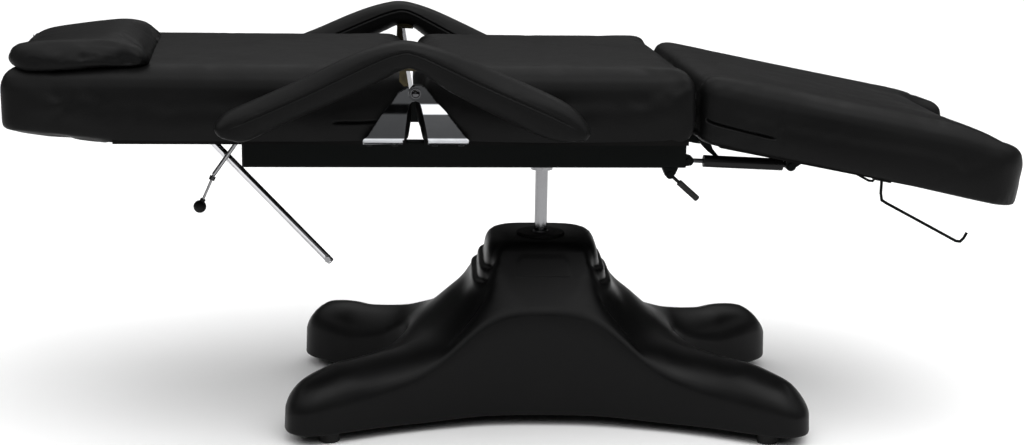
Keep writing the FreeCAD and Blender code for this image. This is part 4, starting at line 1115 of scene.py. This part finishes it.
for a, e, z in ((133.0, 5.5, 259.5), (130.5, 5.5, 262.0), (127.0, 5.4, 263.2), (123.6, 5.4, 263.8), (122.0, 5.4, 265.6), (121.5, 5.4, 270), (121.0, 5.4, 276), (120.4, 5.3, 281), (118.6, 5.3, 284.8), (115.6, 5.2, 286.8), (111.4, 5.2, 287.4), (109.6, 5.1, 289.0), (109.0, 5.1, 293.0), (108.2, 5.0, 300.0), (107.2, 5.0, 307.0), (106.0, 4.6, 313.0), (104.2, 4.4, 318.5), (100.6, 4.2, 324.6), (95.0, 4.0, 329.6), (88.0, 3.7, 333.0), (79.0, 3.3, 334.8), (67.0, 2.6, 334.0), (57.0, 2.2, 332.2), (50.0, 2.0, 331.2), (40.0, 2.0, 330.8), (37.5, 2.0, 330.0), (36.6, 2.0, 328.0), (36.4, 2.0, 318.0)):
    rings.append(tower_ring(squircle(a, e), z) if a > 95 else np.c_[squircle(a, e), np.full(N, z)])
grid = np.stack(rings)
for _ in range(14):
    ax, ay, az = np.abs(grid[..., 0]), np.abs(grid[..., 1]), grid[..., 2]
    w = step01(ax, 62, 78) * (1 - step01(ax, 104, 120)) * step01(ay - ax, 0, 20) * step01(az, 236, 250) * (1 - step01(az, 300, 316)) * step01(ay, 90, 104)
    mean = (np.roll(grid, 1, 1) + np.roll(grid, -1, 1)) * 0.25
    mean[1:-1] += (grid[:-2] + grid[2:]) * 0.25
    w[0] = w[-1] = 0
    grid += 0.6 * w[..., None] * (mean - grid)
verts = grid.reshape(-1, 3)
faces = []
for i in range(len(rings) - 1):
    for k in range(N):
        q = (k + 1) % N
        faces.append((i * N + k, i * N + q, (i + 1) * N + q, (i + 1) * N + k))
c, sn = math.cos(BASE_TURN), math.sin(BASE_TURN)
verts = np.c_[verts[:, 0] * c - verts[:, 1] * sn, verts[:, 0] * sn + verts[:, 1] * c, verts[:, 2]]
base = new_obj("base_shell", mm(verts), faces)
m = base.modifiers.new("wall", "SOLIDIFY")
m.thickness = 0.004
m.offset = -1.0
m.use_even_offset = False
bake_mods(base)
# pedal slot on the far side
cut_v = []
slot = round_poly([(-23.5, 31.0), (23.5, 31.0), (23.5, 127.0), (-23.5, 127.0)], [8, 8, 8, 8], 6)
for y in (120.0, 330.0):
    cut_v += [(x * c - y * sn, x * sn + y * c, z) for x, z in slot]
k = len(slot)
cut_f = [tuple(range(k)), tuple(range(2 * k - 1, k - 1, -1))] + [(i, i + k, (i + 1) % k + k, (i + 1) % k) for i in range(k)]
cutter = new_obj("cutter", mm(cut_v), cut_f)
bm = bmesh.new()
bm.from_mesh(cutter.data)
bmesh.ops.recalc_face_normals(bm, faces=bm.faces)
bm.to_mesh(cutter.data)
bm.free()
m = base.modifiers.new("slot", "BOOLEAN")
m.operation = "DIFFERENCE"
m.object = cutter
m.solver = "EXACT"
bake_mods(base)
bpy.data.objects.remove(cutter)
finish_piece(base, "base", "base_gloss", "base_cover")


# ------------------------------------------------------------------ floor, light and camera
def plane(name, size, z=0.0):
    s = size / 2
    return new_obj(name, [(-s, -s, z), (s, -s, z), (s, s, z), (-s, s, z)], [(0, 1, 2, 3)])


floor = plane("floor", 60.0)
fm, nt, bsdf, vec = tree_of("floor")
n1 = noise(nt, vec, 3.0, 3.0)
nt.links.new(ramp(nt, n1, [(0.2, (0.86, 0.86, 0.86)), (0.8, (0.88, 0.88, 0.88))]), bsdf.inputs["Base Color"])
bsdf.inputs["Roughness"].default_value = 0.9
bsdf.inputs["Specular IOR Level"].default_value = 0.1
floor.data.materials.append(fm)

world = bpy.data.worlds.new("studio")
scene.world = world
world.use_nodes = True
nt = world.node_tree
nt.nodes.clear()
wo = nt.nodes.new("ShaderNodeOutputWorld")
bg = nt.nodes.new("ShaderNodeBackground")
tc = nt.nodes.new("ShaderNodeTexCoord")
sp = nt.nodes.new("ShaderNodeSeparateXYZ")
nt.links.new(tc.outputs["Generated"], sp.inputs[0])
high = ramp(nt, sp.outputs["Z"], [(0.0, (0.04, 0.04, 0.04)), (0.38, (0.055, 0.055, 0.055)), (0.60, (1.7, 1.7, 1.7)), (1.0, (2.5, 2.5, 2.5))])
side = ramp(nt, mapped(nt, sp.outputs["Y"], 0.0, 1.0, -1.0, 1.0), [(0.0, (1.1, 1.1, 1.1)), (0.5, (1.0, 1.0, 1.0)), (0.68, (0.62, 0.62, 0.62)), (1.0, (0.2, 0.2, 0.2))])
mul = nt.nodes.new("ShaderNodeMix")
mul.data_type = "RGBA"
mul.blend_type = "MULTIPLY"
mul.inputs[0].default_value = 1.0
nt.links.new(high, mul.inputs[6])
nt.links.new(side, mul.inputs[7])
col = mul.outputs[2]
nt.links.new(col, bg.inputs[0])
bg.inputs[1].default_value = 1.0
nt.links.new(bg.outputs[0], wo.inputs[0])


def area(name, loc, target, size, power):
    l = bpy.data.lights.new(name, "AREA")
    l.shape = "RECTANGLE"
    l.size, l.size_y = size
    l.energy = power
    o = bpy.data.objects.new(name, l)
    scene.collection.objects.link(o)
    o.location = loc
    o.rotation_euler = (Vector(target) - Vector(loc)).to_track_quat("-Z", "Y").to_euler()
    return o


area("key", (0.8, -1.5, 3.3), (0.3, 0.0, 0.5), (3.0, 2.2), 38)
area("back", (0.4, 2.6, 2.6), (0.0, 0.1, 0.55), (3.6, 1.4), 10)

cam_data = bpy.data.cameras.new("camera")
cam = bpy.data.objects.new("camera", cam_data)
scene.collection.objects.link(cam)
PITCH, YAW, ROLL = 0.2207, 0.080, 0.0165
cam_data.sensor_width = 36.0
cam_data.lens = 1686.6 / 1024.0 * 36.0
cam_data.clip_end = 200.0
fw = Vector((math.sin(YAW) * math.cos(PITCH), math.cos(YAW) * math.cos(PITCH), -math.sin(PITCH)))
rt = Vector((math.cos(YAW), -math.sin(YAW), 0.0))
up = rt.cross(fw)
rt2 = rt * math.cos(ROLL) + up * math.sin(ROLL)
up2 = up * math.cos(ROLL) - rt * math.sin(ROLL)
cam.matrix_world = Matrix((
    (rt2.x, up2.x, -fw.x, -0.309 + SHIFT[0]),
    (rt2.y, up2.y, -fw.y, -3.1621),
    (rt2.z, up2.z, -fw.z, 1.0645),
    (0, 0, 0, 1)))
scene.camera = cam
scene.view_settings.view_transform = "Standard"
scene.view_settings.look = "None"
